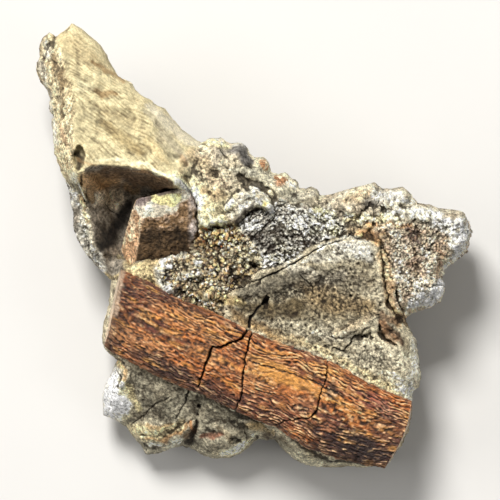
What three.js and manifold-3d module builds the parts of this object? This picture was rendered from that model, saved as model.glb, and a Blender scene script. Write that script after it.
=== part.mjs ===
// A weathered block of cream and grey rock with a length of fossil reptile bone bedded in it.
// Millimetres, +Z up. The piece rests on its flat underside at z = 0, centred on the origin.
// X runs along the width, +Y towards the rising arm of rock.

import * as THREE from 'three';
import { mergeVertices } from 'three/addons/utils/BufferGeometryUtils.js';
import { ConvexGeometry } from 'three/addons/geometries/ConvexGeometry.js';
import Module from 'manifold-3d';

// ---- Driving dimensions ---------------------------------------------------------------------

const HEIGHT = 26;            // underside to the sharp lip of the arm
const FIT_GAP = 0.3;          // clear space left between the rock and each piece bedded in it
const EDGE_ROUNDING = 2.6;    // width of the worn rounding along the rock's outline
const EDGE_DROP = 0.5;        // share of the height above the widest line lost in that rounding
const RIM_HEIGHT = 7.5;       // height of the widest line of the rock at y = 0
const RIM_RISE = 0.15;        // rise of that line per millimetre towards the arm
const RIM_WANDER = 1.6;       // how far that line wanders up and down
const RING_PASSES = 12;       // smoothing of the rings under the body
const FOOT_REACH = 21;        // farthest the flat underside reaches from its middle
const FOOT_SHARE = 0.8;       // largest share of the outline's reach that the underside takes
const FOOT_MIDDLE = [-6.5, -2.5];
const CELLS = 43;             // cells along each side of the rock's upper sheet
const SMOOTHING_SAMPLES = 201;
const SMOOTHING_PASSES = 300;
const EDGE_FADE = 0.1;        // share of the sheet over which the outline's small wiggles fade out

const BONE_ARCH = 2.7;        // rise of the bone's back above the line between its long edges
const BONE_DEPTH = 4.2;       // depth of the bone's buried side below that line
const BONE_RINGS = 25;
const BONE_SIDES = 28;

// ---- Outline of the rock, four sides, clockwise from the tip of the arm ----------------------

const TOP_SIDE = [
  [-28.2, 29.3], [-27.4, 28.6], [-26.3, 29.5], [-25, 30.7], [-23.5, 29.7], [-21.7, 28.2],
  [-20.7, 26.7], [-20.1, 25.4], [-18.9, 23.5], [-17.1, 22.4], [-15.8, 20.9], [-14.4, 20.1],
  [-13.4, 19.2], [-12.6, 19.1], [-11.3, 17.6], [-10.1, 16], [-8.6, 15.1], [-7.3, 14.1],
  [-6.2, 14.7], [-4.4, 14.8], [-3.5, 14], [-1.9, 14.1], [-1.1, 13.7], [-0.8, 12.7],
  [0, 12.2], [1.2, 12.2], [1.9, 11.3], [2.2, 10.1], [3.3, 9.8], [4.4, 10],
  [4.8, 9.3], [5.8, 8.9], [6.2, 8], [7.1, 7.7], [8, 8], [8.7, 7.6],
  [9.1, 6.8], [10.2, 6.8], [12, 7.3], [14, 7.9], [15.5, 8.2], [16.6, 8.6],
  [17.6, 7.7], [19.1, 7.7], [20.6, 8], [21.4, 7.1], [22.5, 5.7], [24.3, 5.5],
  [25.3, 5], [27.4, 4.8], [28.6, 4.6], [29.5, 3.3], [30, 2.1],
];
const RIGHT_SIDE = [
  [30, 2.1], [29.6, 0.4], [29.5, -0.7], [27.8, -1.9], [26.3, -3.2], [25.9, -4.3],
  [26.3, -6.1], [25.7, -7.6], [24.1, -8.4], [21.8, -9.1], [20.7, -10], [21.4, -11.6],
  [22.3, -13.1], [22.5, -15.1], [23.1, -17.7], [22.7, -19.5], [21.8, -20.2], [21.7, -22.7],
  [21.6, -24.9], [20.7, -27.1], [19.5, -29], [18.1, -30.6],
];
const BOTTOM_SIDE = [
  [18.1, -30.6], [15.3, -30.7], [11.2, -30.7], [8.4, -30.6], [6.4, -30], [4.7, -28.9],
  [3.6, -27.5], [2.9, -26.7], [1.8, -27.1], [0.6, -26.8], [-0.6, -27.8], [-1.9, -28.9],
  [-3.3, -29.5], [-5.5, -29.6], [-7.1, -29.2], [-8.4, -28.3], [-10, -27.8], [-11.6, -28.1],
  [-13.4, -28.8], [-15.1, -29], [-15.6, -27.8], [-16.7, -26.6], [-17.6, -25.3],
  [-19.2, -24.2], [-20.9, -23.5],
];
const LEFT_SIDE = [
  [-20.9, -23.5], [-21, -21.3], [-20.7, -19.6], [-19.6, -17.4], [-18.9, -15.8],
  [-19.5, -15.1], [-20.7, -14.1], [-20.9, -12.3], [-20.5, -10], [-19.9, -7.5],
  [-19.5, -4.7], [-20.7, -3.6], [-21.7, -2.6], [-23, -1.1], [-24.2, 0.8], [-24.8, 2.5],
  [-24.8, 4.7], [-25.2, 6.4], [-25.3, 7.7], [-26, 9.4], [-27, 11.5], [-27.5, 12.9],
  [-27.4, 14], [-27.7, 16], [-27.7, 18.1], [-28.2, 19.1], [-27.9, 20.2], [-28.5, 21.8],
  [-29.6, 23.1], [-30, 24.3], [-29.9, 25.4], [-29.5, 26.1], [-29.6, 27.5], [-29, 28.9],
  [-28.2, 29.3],
];

// ---- Fields of the rock's upper surface, laid one over another -------------------------------
// Each field has an edge in plan and one or more sloping planes [x, y, z, rise in x, rise in y];
// the lowest plane counts. It is reached over `soft` across the edge. `rough` scales the small
// lumps of the surface.

const FIELDS = [
  { name: 'left rim', soft: 1.6, rough: 1.2,
    edge: [[-32, 13], [-23.5, 13], [-23.6, 6.4], [-22.2, 1.5], [-20.7, -2.2], [-20.5, -6],
      [-32, -8]],
    planes: [[-24.1, 4.3, 16.5, 0.25, 0.5]] },
  { name: 'upper body', soft: 1.2, rough: 0.9,
    edge: [[-12.3, 22], [-3, 18], [3, 16], [14, 9], [12.6, 5.7], [10.5, 4.3], [5, 5],
      [1.1, 5.7], [-1.9, 4.3], [-2.6, 2.8], [-7.5, 2.5], [-8, 5.7], [-10.8, 8.2],
      [-12.3, 10.5]],
    planes: [[-1.2, 7.7, 20.3, -0.22, -0.1]] },
  { name: 'arm', soft: 1.4, rough: 0.45,
    edge: [[-34, 34], [-20, 34], [-5.5, 16], [-7.3, 14.1], [-8.9, 11.2], [-10.4, 8.2],
      [-12, 6], [-16, 6], [-21.5, 6.5], [-23.4, 10.4], [-25.5, 10.6], [-34, 10]],
    planes: [[-19.2, 18.8, 22.6, -0.13, -0.37], [-24.1, 11.2, 26, 2.2, -0.01],
      [-9, 12, 22.4, -0.55, -0.55]] },
  { name: 'cream ledge', soft: 0.8, rough: 0.6,
    edge: [[-20.5, -1.2], [-17.6, -1.6], [-15.6, 0.5], [-8.5, 0.5], [-8.9, -0.7],
      [-11.6, -2.2], [-12.7, -4], [-11, -7.5], [-15.1, -5.6], [-21.5, -4]],
    planes: [[-13, -3, 17.5, 0.1, -0.05], [-18.5, -3, 15.6, 0.8, 0]] },
  { name: 'granular ground', soft: 0.8, rough: 1,
    edge: [[-12.7, -2.2], [-8.9, -0.7], [-7.7, 1.1], [-7.5, 2.6], [-2.5, 2.9], [1.1, -0.6],
      [1.1, -3.3], [-1.9, -5.8], [-4, -9.5], [-11, -7.5], [-13, -4]],
    planes: [[-5.5, -2, 18.3, 0.03, 0.08]] },
  { name: 'dark layers', soft: 0.8, rough: 0.9,
    edge: [[-2.5, 2.9], [-1.1, 4.7], [2.2, 5.4], [6.4, 5.4], [10.5, 5.3], [12.6, 4.1],
      [12.2, 1.8], [9.8, 0.4], [7.1, -0.7], [4.3, -2.8], [1.1, -3.6], [0.6, -0.6],
      [-1.9, 1.9]],
    planes: [[5, 2, 18.8, 0, 0.05]] },
  { name: 'hooked ridge', soft: 0.7, rough: 0.6,
    edge: [[-4, 4.1], [-1.2, 7.1], [0.6, 7.7], [1.9, 6.6], [2.5, 5], [1.1, 5.4],
      [-1.2, 4.7], [-2.8, 2.9]],
    planes: [[0, 6, 21.4, 0.05, 0.1]] },
  { name: 'right lobe', soft: 1, rough: 0.8,
    edge: [[16.5, 3], [22.3, 3.4], [32, 4], [34, -4], [28, -10], [21.9, -11.5],
      [20.7, -9.5], [18.5, -5.4], [17.2, -2.2]],
    planes: [[23, -3, 17.3, -0.05, 0.05]] },
  { name: 'right ridge', soft: 0.8, rough: 1,
    edge: [[9.5, 7], [12, 11], [24, 11], [34, 8], [29, 3.4], [25.7, 3.3], [22.3, 3],
      [18.8, 3.2], [15.4, 3.2], [12.2, 3], [11.1, 4.7]],
    planes: [[17, 5.5, 19.5, -0.03, -0.12]] },
  { name: 'slab', soft: 0.5, rough: 0.55,
    edge: [[-1.9, -5.8], [1.1, -3.6], [4.3, -2.6], [7.1, -0.7], [9.8, 0.4], [12.6, 1.4],
      [14.9, 0.8], [16.9, 0.1], [17.6, -4], [18.1, -8.2], [19.6, -10.5], [25, -13.7],
      [26, -21], [17.4, -21], [6.4, -16], [-4, -10.5], [-4, -7.9]],
    planes: [[9.8, -7.5, 19.3, 0.02, 0.17]] },
  { name: 'seat of the small block', soft: 0.6, rough: 0.2,
    edge: [[-16.3, 6.8], [-14.1, 7.6], [-8.9, 7.9], [-7.7, 5.8], [-8, 2], [-8.8, 0.2],
      [-15.4, -0.6], [-17, -1.6], [-18.6, -1.2], [-17.6, 3]],
    planes: [[-12, 0, 16.4, 0, 0.05], [-18, 0, 12.4, 1.2, 0]] },
  { name: 'lower face', soft: 0.8, rough: 1.1,
    edge: [[-26, -14.6], [-18.8, -15.1], [-15.8, -16.6], [-9.5, -19.5], [-2.6, -22.6],
      [3.2, -24.6], [3.4, -34], [-26, -34]],
    planes: [[-10.2, -23.4, 10.9, 0.22, 0.75]] },
  { name: 'lower right foot', soft: 0.8, rough: 0.8,
    edge: [[2.6, -24.6], [4.6, -25.6], [7.7, -27.9], [11.2, -29.2], [18.1, -30.2], [19, -34],
      [2, -34]],
    planes: [[8, -28.5, 11, 0, 0.9]] },
];

// Lumps and dents of the upper surface: [x, y, radius along x, radius along y, height].
const LUMPS = [
  [-18.9, -20.2, 2.6, 4.6, 1.6], [-14.5, -25.5, 3.4, 2.4, 1.5], [-4, -27, 3.8, 2.2, 1.5],
  [0.5, -25.6, 2.2, 1.6, 0.7], [-13, -20.5, 2.6, 2.2, 0.7], [-7.8, -22.3, 1.1, 2.4, -1.2],
  [-27.9, 27.8, 1.5, 1.8, -1.4], [-26.2, 15.4, 1.4, 2.6, 1], [-24.8, 8.5, 1.6, 2.4, 0.9],
  [-24, -0.6, 1.6, 1.8, 0.8], [-14.5, 22, 3.2, 4.2, 0.6], [-19, 13.5, 3.6, 2.6, 0.6],
  [-12.5, 13, 3, 3, 0.5], [-22, 24, 2.4, 3.2, 0.5], [-17, 17.5, 1.6, 3.8, -0.5],
  [-4.6, 13.6, 2.2, 1.6, 0.8], [-1.4, 12.2, 1.6, 1.7, 1.1], [0.8, 10.4, 1.4, 1.2, 0.8],
  [6.2, 8.1, 1.5, 1.5, 1], [3.4, 8.2, 1.8, 1.6, 0.6], [10.8, 5.7, 2, 1.7, 0.8],
  [14.2, 5.9, 2.1, 2.3, 1], [19, 6.6, 2.6, 1.9, 0.8], [23, 4.3, 3.4, 1.5, 1.2],
  [27.4, 3.6, 2, 1.6, 0.6], [28, 0.4, 1.8, 2, 0.7], [23.6, -5.5, 2.6, 2.6, 0.7],
  [22.3, 1.9, 1.2, 1.2, -0.7], [10.5, -6.1, 5, 5, -0.8], [14.5, -0.6, 3, 1.8, 0.6],
  [19.6, -15, 3, 4, 0.6], [14.6, -12.5, 3.2, 1.6, -0.6], [18.7, -12.2, 1.6, 1.6, -1.5],
  [-5.5, 9.7, 1.3, 1.3, -1], [-9.3, 11.1, 0.9, 0.9, -0.8], [-6.6, 5, 2, 1.4, 0.5],
  [0, -2.4, 1.2, 1.2, -1.4], [-9, -4, 2.6, 3, 0.4], [-3.5, 0, 2.2, 1.6, 0.5],
];

// The hollow under the arm: each point of its brink in plan with the foot of the wall below it.
const HOLLOW_FLOOR = 12.4;    // height of the hollow's floor at y = 4
const HOLLOW_RISE = 0.2;      // rise of the floor per millimetre towards the arm
const HOLLOW_WALL = [
  [-23.2, 11.1, -21.6, 8.3], [-20.2, 10.9, -19.6, 7.9], [-17.1, 10.3, -17.4, 7.5],
  [-13, 9.3, -15.4, 7], [-10.8, 8.1, -14.6, 6.2], [-14, 5, -15.4, 4.8], [-14.6, 1, -16.8, 2],
  [-15.8, -1.6, -18, -0.8], [-19.4, -4.4, -19.2, -2.6], [-21, -3, -20.1, -1.6],
  [-22.1, 0.8, -20.4, 1.6], [-23.4, 4.4, -21.2, 4.6], [-24, 6.6, -21.8, 6.3],
  [-23.9, 9, -22.1, 7.5],
];

// Open grooves in the rock: path of [x, y, width, depth].
const ROCK_GROOVES = [
  [[12.6, 2, 0.9, 1.2], [14.9, 2.6, 1.1, 1.6], [16.9, 2, 1.3, 2], [17.5, -0.1, 1.3, 2.4],
    [17.7, -2.6, 1.5, 2.6], [18.2, -5.4, 2, 2.8], [19, -7.7, 2.4, 2.8], [20.9, -10.4, 2.6, 2.6]],
  [[-7.6, -21.8, 0.8, 1.2], [-7.6, -24.8, 1.4, 1.8], [-8.8, -26.8, 1.9, 2],
    [-10.4, -29, 2.2, 2]],
];

// Open pits in the rock: [x, y, radius in x, radius in y, depth].
const ROCK_PITS = [
  [-24.9, 11.9, 0.8, 1.7, 1.6], [18.7, -12.2, 1.1, 1, 1.2], [-5.5, 9.7, 0.9, 0.9, 0.9],
  [-3, -26.6, 0.9, 0.5, 0.9],
];

// ---- The long bone: its two long edges in plan, and the line of its cracks -------------------

const BONE_UPPER_EDGE = [
  [-18.3, -3.3], [-15.1, -4.6], [-11.6, -6.4], [-8.2, -8], [-4.7, -9.5], [-1.2, -11.1],
  [2.2, -12.7], [6.4, -14], [9.8, -15.4], [13.3, -17.3], [17.4, -19.5], [21.7, -21.3],
];
const BONE_LOWER_EDGE = [
  [-20.6, -13.7], [-18.8, -15.1], [-15.8, -16.7], [-13, -18.1], [-9.5, -19.6],
  [-6.8, -20.6], [-4.7, -21.6], [-2.4, -22.8], [0.1, -23.9], [2.9, -24.9], [5, -26.4],
  [7.7, -27.9], [11.2, -29.2], [14.7, -30], [18.1, -30.5],
];
const BONE_END_BULGE = 1;     // how far the broken right end bows outwards
const BONE_CRACKS = [
  [[2.3, -12.4, 0.5, 1.2], [0.6, -10.6, 0.6, 1.4], [-0.2, -11.2, 0.6, 1.4],
    [-1, -12.6, 0.6, 1.4], [-2.2, -13.4, 0.5, 1.2], [-4.2, -13.9, 0.5, 1.2],
    [-5.5, -14.8, 0.5, 1.1], [-6.5, -16.4, 0.5, 1.1], [-7.2, -18.5, 0.4, 1],
    [-7.6, -20.4, 0.4, 1]],
  [[-0.4, -12, 0.4, 1.1], [-1, -15.8, 0.4, 1], [-1.5, -18.5, 0.4, 1],
    [-2, -21.3, 0.3, 0.9], [-2.4, -23, 0.3, 0.8]],
  [[9.8, -15, 0.3, 0.7], [10.1, -17.1, 0.3, 0.8], [9.8, -19.2, 0.3, 0.8],
    [9.2, -21.3, 0.4, 0.9], [8.5, -23.2, 0.4, 0.9], [6.4, -24, 0.4, 0.8],
    [4, -24.8, 0.4, 0.8]],
];

// ---- The small block of bone and the two chips, as corners of solid lumps --------------------

const BLOCK_CORNERS = [
  [-16.2, 6.6, 20.4], [-14.1, 7.5, 20.9], [-11.4, 7.8, 21.2], [-9.1, 7.7, 21.3],
  [-7.8, 5.9, 21.2], [-8.2, 4.6, 20.9], [-10.2, 4.6, 21.2], [-13, 4.3, 20.9],
  [-14.7, 3.7, 20.5], [-15.6, 3.2, 20], [-15.5, -1, 15], [-12, -0.9, 15],
  [-9, -0.3, 15.1], [-16.2, 0.4, 16.8], [-18.9, -1.7, 11.3], [-17.4, -2, 11.2],
  [-18.5, 1, 11.4], [-17.5, 4, 12.2], [-16.7, 6, 13.4], [-14.4, 7.7, 13.5],
  [-9, 7.9, 13.8], [-7.4, 5.8, 14], [-7.6, 2.4, 14], [-8.4, -0.2, 13.6],
  [-15, -1.2, 11.4], [-9.5, -0.4, 12.4],
];
const UPPER_CHIP = { centre: [1.15, 10.8, 16.4], reach: [0.85, 1.1, 1.9] };
const LOWER_CHIP = { centre: [3.5, 8.9, 17], reach: [1.2, 0.8, 1.7] };

// ---- Small helpers ---------------------------------------------------------------------------

const clamp = (value, low, high) => Math.min(high, Math.max(low, value));
const mix = (a, b, share) => a + (b - a) * share;

function smoothStep(low, high, value) {
  const t = clamp((value - low) / (high - low), 0, 1);
  return t * t * (3 - 2 * t);
}

// A fixed pseudo-random value in 0..1 for each point of a whole-number lattice.
function latticeValue(i, j, k, seed) {
  let h = Math.imul(i, 374761393) + Math.imul(j, 668265263);
  h = (h + Math.imul(k, 1274126177) + Math.imul(seed, 974634777)) >>> 0;
  h = Math.imul(h ^ (h >>> 13), 1274126177) >>> 0;
  return ((h ^ (h >>> 16)) >>> 0) / 4294967296;
}

// Smooth noise in -1..1: lattice values blended along the three axes in turn.
function noise(x, y, z, seed) {
  const [i, j, k] = [Math.floor(x), Math.floor(y), Math.floor(z)];
  const [u, v, w] = [smoothStep(0, 1, x - i), smoothStep(0, 1, y - j), smoothStep(0, 1, z - k)];
  const edge = (b, c) => mix(
    latticeValue(i, j + b, k + c, seed), latticeValue(i + 1, j + b, k + c, seed), u);
  const face = (c) => mix(edge(0, c), edge(1, c), v);
  return mix(face(0), face(1), w) * 2 - 1;
}

// The rock's lumps at two sizes, in millimetres before scaling.
function rockLumps(x, y, z) {
  return 0.62 * noise(x / 6.5, y / 6.5, z / 6.5, 1) + 0.38 * noise(x / 2.8, y / 2.8, z / 2.8, 2);
}

// Height of the rock's widest line.
function rimHeight(x, y) {
  return RIM_HEIGHT + RIM_RISE * y + RIM_WANDER * noise(x / 8, y / 8, 0.5, 3);
}

// Distance from a point to a closed outline, positive inside.
function depthInside(x, y, outline) {
  let nearest = Infinity;
  let inside = false;
  for (let n = 0; n < outline.length; n++) {
    const [ax, ay] = outline[n];
    const [bx, by] = outline[(n + 1) % outline.length];
    const [ex, ey] = [bx - ax, by - ay];
    const along = clamp(((x - ax) * ex + (y - ay) * ey) / (ex * ex + ey * ey), 0, 1);
    nearest = Math.min(nearest, Math.hypot(x - ax - along * ex, y - ay - along * ey));
    if ((ay > y) !== (by > y) && x < ax + (y - ay) * ex / ey) {
      inside = !inside;
    }
  }
  return inside ? nearest : -nearest;
}

// Point at a share 0..1 of the length of a path.
function alongPath(path, share) {
  const steps = path.slice(1).map((p, n) => Math.hypot(p[0] - path[n][0], p[1] - path[n][1]));
  let left = share * steps.reduce((sum, step) => sum + step, 0);
  let n = 0;
  while (n < steps.length - 1 && left > steps[n]) {
    left -= steps[n];
    n += 1;
  }
  const t = clamp(left / steps[n], 0, 1);
  return path[n].map((value, axis) => mix(value, path[n + 1][axis], t));
}

// ---- Upper surface ---------------------------------------------------------------------------

const OUTLINE = [
  ...TOP_SIDE.slice(0, -1), ...RIGHT_SIDE.slice(0, -1), ...BOTTOM_SIDE.slice(0, -1),
  ...LEFT_SIDE.slice(0, -1),
];
const BONE_OUTLINE = [...BONE_UPPER_EDGE, [22.2, -25], ...[...BONE_LOWER_EDGE].reverse()];

// Height of the line between the bone's long edges: a gentle slope with a slight bow.
function bedHeight(x, y) {
  const bow = 1 - (x / 21) * (x / 21);
  return 17.6 + 0.06 * (x + 18.3) + 0.215 * (y + 3.3) + bow;
}

// Height and roughness of the rock's upper surface before the outline's rounding.
function ground(x, y) {
  let z = 16 + 0.1 * y;
  let rough = 1;
  const lay = (height, roughness, share) => {
    z = mix(z, height, share);
    rough = mix(rough, roughness, share);
  };
  for (const field of FIELDS) {
    const depth = depthInside(x, y, field.edge);
    const share = smoothStep(-field.soft / 2, field.soft / 2, depth);
    if (share > 0) {
      const heights = field.planes.map(([px, py, pz, gx, gy]) => pz + gx * (x - px) + gy * (y - py));
      lay(Math.min(...heights), field.rough, share);
    }
  }
  lay(bedHeight(x, y), 0.2, smoothStep(-0.5, 0.3, depthInside(x, y, BONE_OUTLINE)));
  for (const [cx, cy, rx, ry, height] of LUMPS) {
    const r = Math.hypot((x - cx) / rx, (y - cy) / ry);
    z += r < 1 ? height * (1 - r * r) ** 2 : 0;
  }
  return { z, rough };
}

// Finished height of the upper surface: lumps added, the outline rounded off, never above HEIGHT.
function upperHeight(x, y) {
  const { z, rough } = ground(x, y);
  const short = 1 - clamp(depthInside(x, y, OUTLINE), 0, EDGE_ROUNDING) / EDGE_ROUNDING;
  const above = z - rimHeight(x, y);
  const drop = EDGE_DROP * above * (1 - Math.sqrt(1 - short * short));
  return Math.min(HEIGHT, z + rough * rockLumps(x, y, z) - drop);
}

// ---- Rock body -------------------------------------------------------------------------------

// Four sides of the outline sampled evenly, each with the smooth guide line it wiggles about.
function sideSamples(path, count) {
  const even = Array.from({ length: SMOOTHING_SAMPLES }, (_, n) => (
    alongPath(path, n / (SMOOTHING_SAMPLES - 1))));
  let guide = even.map((p) => [...p]);
  for (let pass = 0; pass < SMOOTHING_PASSES; pass++) {
    guide = guide.map((p, n) => (n === 0 || n === guide.length - 1
      ? p
      : p.map((value, axis) => value / 2 + (guide[n - 1][axis] + guide[n + 1][axis]) / 4)));
  }
  return Array.from({ length: count + 1 }, (_, n) => {
    const place = (n / count) * (SMOOTHING_SAMPLES - 1);
    const low = Math.min(Math.floor(place), SMOOTHING_SAMPLES - 2);
    const at = (line, axis) => mix(line[low][axis], line[low + 1][axis], place - low);
    return { true: [at(even, 0), at(even, 1)], guide: [at(guide, 0), at(guide, 1)] };
  });
}

// Plan position of every corner of the upper sheet: a patch stretched between the four guide
// lines, with the outline's own wiggles added near each side.
function sheetPlan() {
  const top = sideSamples(TOP_SIDE, CELLS);
  const right = sideSamples(RIGHT_SIDE, CELLS);
  const bottom = sideSamples(BOTTOM_SIDE, CELLS).reverse();
  const left = sideSamples(LEFT_SIDE, CELLS).reverse();
  const fade = (share) => clamp(1 - share / EDGE_FADE, 0, 1);
  const rows = [];
  for (let j = 0; j <= CELLS; j++) {
    const row = [];
    for (let i = 0; i <= CELLS; i++) {
      const [s, t] = [i / CELLS, j / CELLS];
      row.push([0, 1].map((axis) => {
        const g = (side, n) => side[n].guide[axis];
        const wiggle = (side, n) => side[n].true[axis] - side[n].guide[axis];
        const across = mix(g(top, i), g(bottom, i), t) + mix(g(left, j), g(right, j), s);
        const corners = mix(mix(g(top, 0), g(top, CELLS), s), mix(g(bottom, 0), g(bottom, CELLS), s), t);
        return across - corners
          + wiggle(top, i) * fade(t) + wiggle(bottom, i) * fade(1 - t)
          + wiggle(left, j) * fade(s) + wiggle(right, j) * fade(1 - s);
      }));
    }
    rows.push(row);
  }
  return rows;
}

// The rock as one closed skin: the upper sheet, rings down the wall and under the body, and a
// flat underside.
function rockGeometry() {
  const plan = sheetPlan();
  const points = [];
  const faces = [];
  const sheetIndex = (i, j) => j * (CELLS + 1) + i;
  plan.forEach((row) => row.forEach(([x, y]) => points.push([x, y, upperHeight(x, y)])));
  for (let j = 0; j < CELLS; j++) {
    for (let i = 0; i < CELLS; i++) {
      const [a, b] = [sheetIndex(i, j), sheetIndex(i + 1, j)];
      const [c, d] = [sheetIndex(i + 1, j + 1), sheetIndex(i, j + 1)];
      const rise = Math.abs(points[a][2] - points[c][2]) - Math.abs(points[b][2] - points[d][2]);
      faces.push(...(rise < 0 ? [[a, d, c], [a, c, b]] : [[a, d, b], [b, d, c]]));
    }
  }

  const border = [];
  for (let n = 0; n < CELLS; n++) border.push(sheetIndex(n, 0));
  for (let n = 0; n < CELLS; n++) border.push(sheetIndex(CELLS, n));
  for (let n = CELLS; n > 0; n--) border.push(sheetIndex(n, CELLS));
  for (let n = CELLS; n > 0; n--) border.push(sheetIndex(0, n));

  let ring = border;
  const addRing = (place) => {
    const next = border.map((index, n) => {
      points.push(place(points[index], n));
      return points.length - 1;
    });
    ring.forEach((from, n) => {
      const m = (n + 1) % ring.length;
      faces.push([from, ring[m], next[m]], [from, next[m], next[n]]);
    });
    ring = next;
  };

  // Wall rows: from the sheet's edge down to the widest line, drawn in by the lumps.
  for (const share of [0.3, 0.65, 1]) {
    addRing(([x, y, top]) => {
      const z = mix(top, rimHeight(x, y), share);
      const inward = share < 1 ? 0.2 + 1.3 * Math.abs(rockLumps(x * 1.4, y * 1.4, z * 1.4)) : 0;
      const reach = Math.hypot(x - FOOT_MIDDLE[0], y - FOOT_MIDDLE[1]);
      const scale = 1 - inward / reach;
      return [mix(FOOT_MIDDLE[0], x, scale), mix(FOOT_MIDDLE[1], y, scale), z];
    });
  }

  // Rows under the body: a quarter arc from the widest line in to the flat underside, losing the
  // outline's wiggles on the way.
  const widest = border.map((index) => points[index]);
  let smooth = widest;
  for (let pass = 0; pass < RING_PASSES; pass++) {
    smooth = smooth.map((p, n) => [0, 1].map((axis) => (
      p[axis] / 2 + (smooth.at(n - 1)[axis] + smooth[(n + 1) % smooth.length][axis]) / 4)));
  }
  for (const share of [0.25, 0.5, 0.75, 1]) {
    addRing((_, n) => {
      const [x, y] = [0, 1].map((axis) => mix(widest[n][axis], smooth[n][axis], Math.min(1, 1.6 * share)));
      const reach = Math.hypot(x - FOOT_MIDDLE[0], y - FOOT_MIDDLE[1]);
      const foot = Math.min(FOOT_SHARE * reach, FOOT_REACH) / reach;
      const scale = mix(1, foot, share);
      const z = rimHeight(widest[n][0], widest[n][1]) * (1 - Math.sin(share * Math.PI / 2));
      const lump = share < 1 ? rockLumps(x * scale, y * scale, z) : 0;
      return [mix(FOOT_MIDDLE[0], x, scale), mix(FOOT_MIDDLE[1], y, scale), Math.max(0, z + lump)];
    });
  }
  points.push([...FOOT_MIDDLE, 0]);
  ring.forEach((from, n) => faces.push([from, ring[(n + 1) % ring.length], points.length - 1]));
  return indexedGeometry(points, faces);
}

// ---- Long bone -------------------------------------------------------------------------------

// Mid-point and half-width vector of the bone at a share of its length.
function boneSpan(share) {
  const upper = alongPath(BONE_UPPER_EDGE, share);
  const lower = alongPath(BONE_LOWER_EDGE, share);
  return {
    middle: [mix(upper[0], lower[0], 0.5), mix(upper[1], lower[1], 0.5)],
    half: [(upper[0] - lower[0]) / 2, (upper[1] - lower[1]) / 2],
    slope: (bedHeight(...upper) - bedHeight(...lower)) / 2,
    level: (bedHeight(...upper) + bedHeight(...lower)) / 2,
  };
}

// Point of the bone's skin: `share` along its length, `turn` around its rounded section.
function bonePoint(share, turn, grow) {
  const { middle, half, slope, level } = boneSpan(share);
  const width = Math.hypot(...half);
  const [c, s] = [Math.cos(turn), Math.sin(turn)];
  const across = Math.sign(c) * Math.abs(c) ** 0.75;
  const upward = Math.sign(s) * Math.abs(s) ** 0.85;
  const taper = 1 - 0.25 * smoothStep(0.72, 1, share) - 0.12 * smoothStep(0.2, 0, share);
  const rise = upward * ((upward > 0 ? BONE_ARCH * taper : BONE_DEPTH) + grow);
  const fibre = 0.16 * noise(share * 5, across * 3.2, upward + 5, 7);
  const bulge = BONE_END_BULGE * share ** 6 * (1 - across * across);
  const stretch = 1 + grow / width;
  const end = (share === 0 ? -1 : Number(share === 1)) * grow;
  const tilt = (share === 0 ? 0.25 : -0.25) * upward * Number(share === 0 || share === 1);
  return [
    middle[0] + half[0] * across * stretch + (bulge + end) * 0.92 + tilt,
    middle[1] + half[1] * across * stretch - end * 0.4,
    level + slope * across + rise + (upward > 0 ? fibre * Math.abs(s) : 0),
  ];
}

// The bone as a closed loft of rounded sections with flat broken ends; `grow` swells it.
function boneGeometry(grow) {
  const points = [];
  const faces = [];
  for (let r = 0; r < BONE_RINGS; r++) {
    for (let n = 0; n < BONE_SIDES; n++) {
      points.push(bonePoint(r / (BONE_RINGS - 1), (n / BONE_SIDES) * Math.PI * 2, grow));
    }
  }
  for (let r = 0; r + 1 < BONE_RINGS; r++) {
    for (let n = 0; n < BONE_SIDES; n++) {
      const m = (n + 1) % BONE_SIDES;
      const [a, b] = [r * BONE_SIDES + n, r * BONE_SIDES + m];
      faces.push([a, b, b + BONE_SIDES], [a, b + BONE_SIDES, a + BONE_SIDES]);
    }
  }
  for (const r of [0, BONE_RINGS - 1]) {
    const first = r * BONE_SIDES;
    const sum = points.slice(first, first + BONE_SIDES).reduce(
      (total, p) => total.map((value, axis) => value + p[axis] / BONE_SIDES), [0, 0, 0]);
    points.push(sum);
    const centre = points.length - 1;
    for (let n = 0; n < BONE_SIDES; n++) {
      const pair = [first + n, first + (n + 1) % BONE_SIDES];
      faces.push(r === 0 ? [pair[1], pair[0], centre] : [pair[0], pair[1], centre]);
    }
  }
  return indexedGeometry(points, faces);
}

// Height of the bone's back above a point in plan.
function boneTop(x, y) {
  let best = { distance: Infinity, z: 0 };
  for (let n = 0; n <= 40; n++) {
    for (let m = 1; m < 16; m++) {
      const point = bonePoint(n / 40, (m / 16) * Math.PI, 0);
      const distance = Math.hypot(point[0] - x, point[1] - y);
      if (distance < best.distance) {
        best = { distance, z: point[2] };
      }
    }
  }
  return best.z;
}

// ---- Cutters and solids ----------------------------------------------------------------------

function indexedGeometry(points, faces) {
  const geometry = new THREE.BufferGeometry();
  geometry.setAttribute('position', new THREE.Float32BufferAttribute(points.flat(), 3));
  geometry.setIndex(faces.flat());
  return geometry;
}

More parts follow.
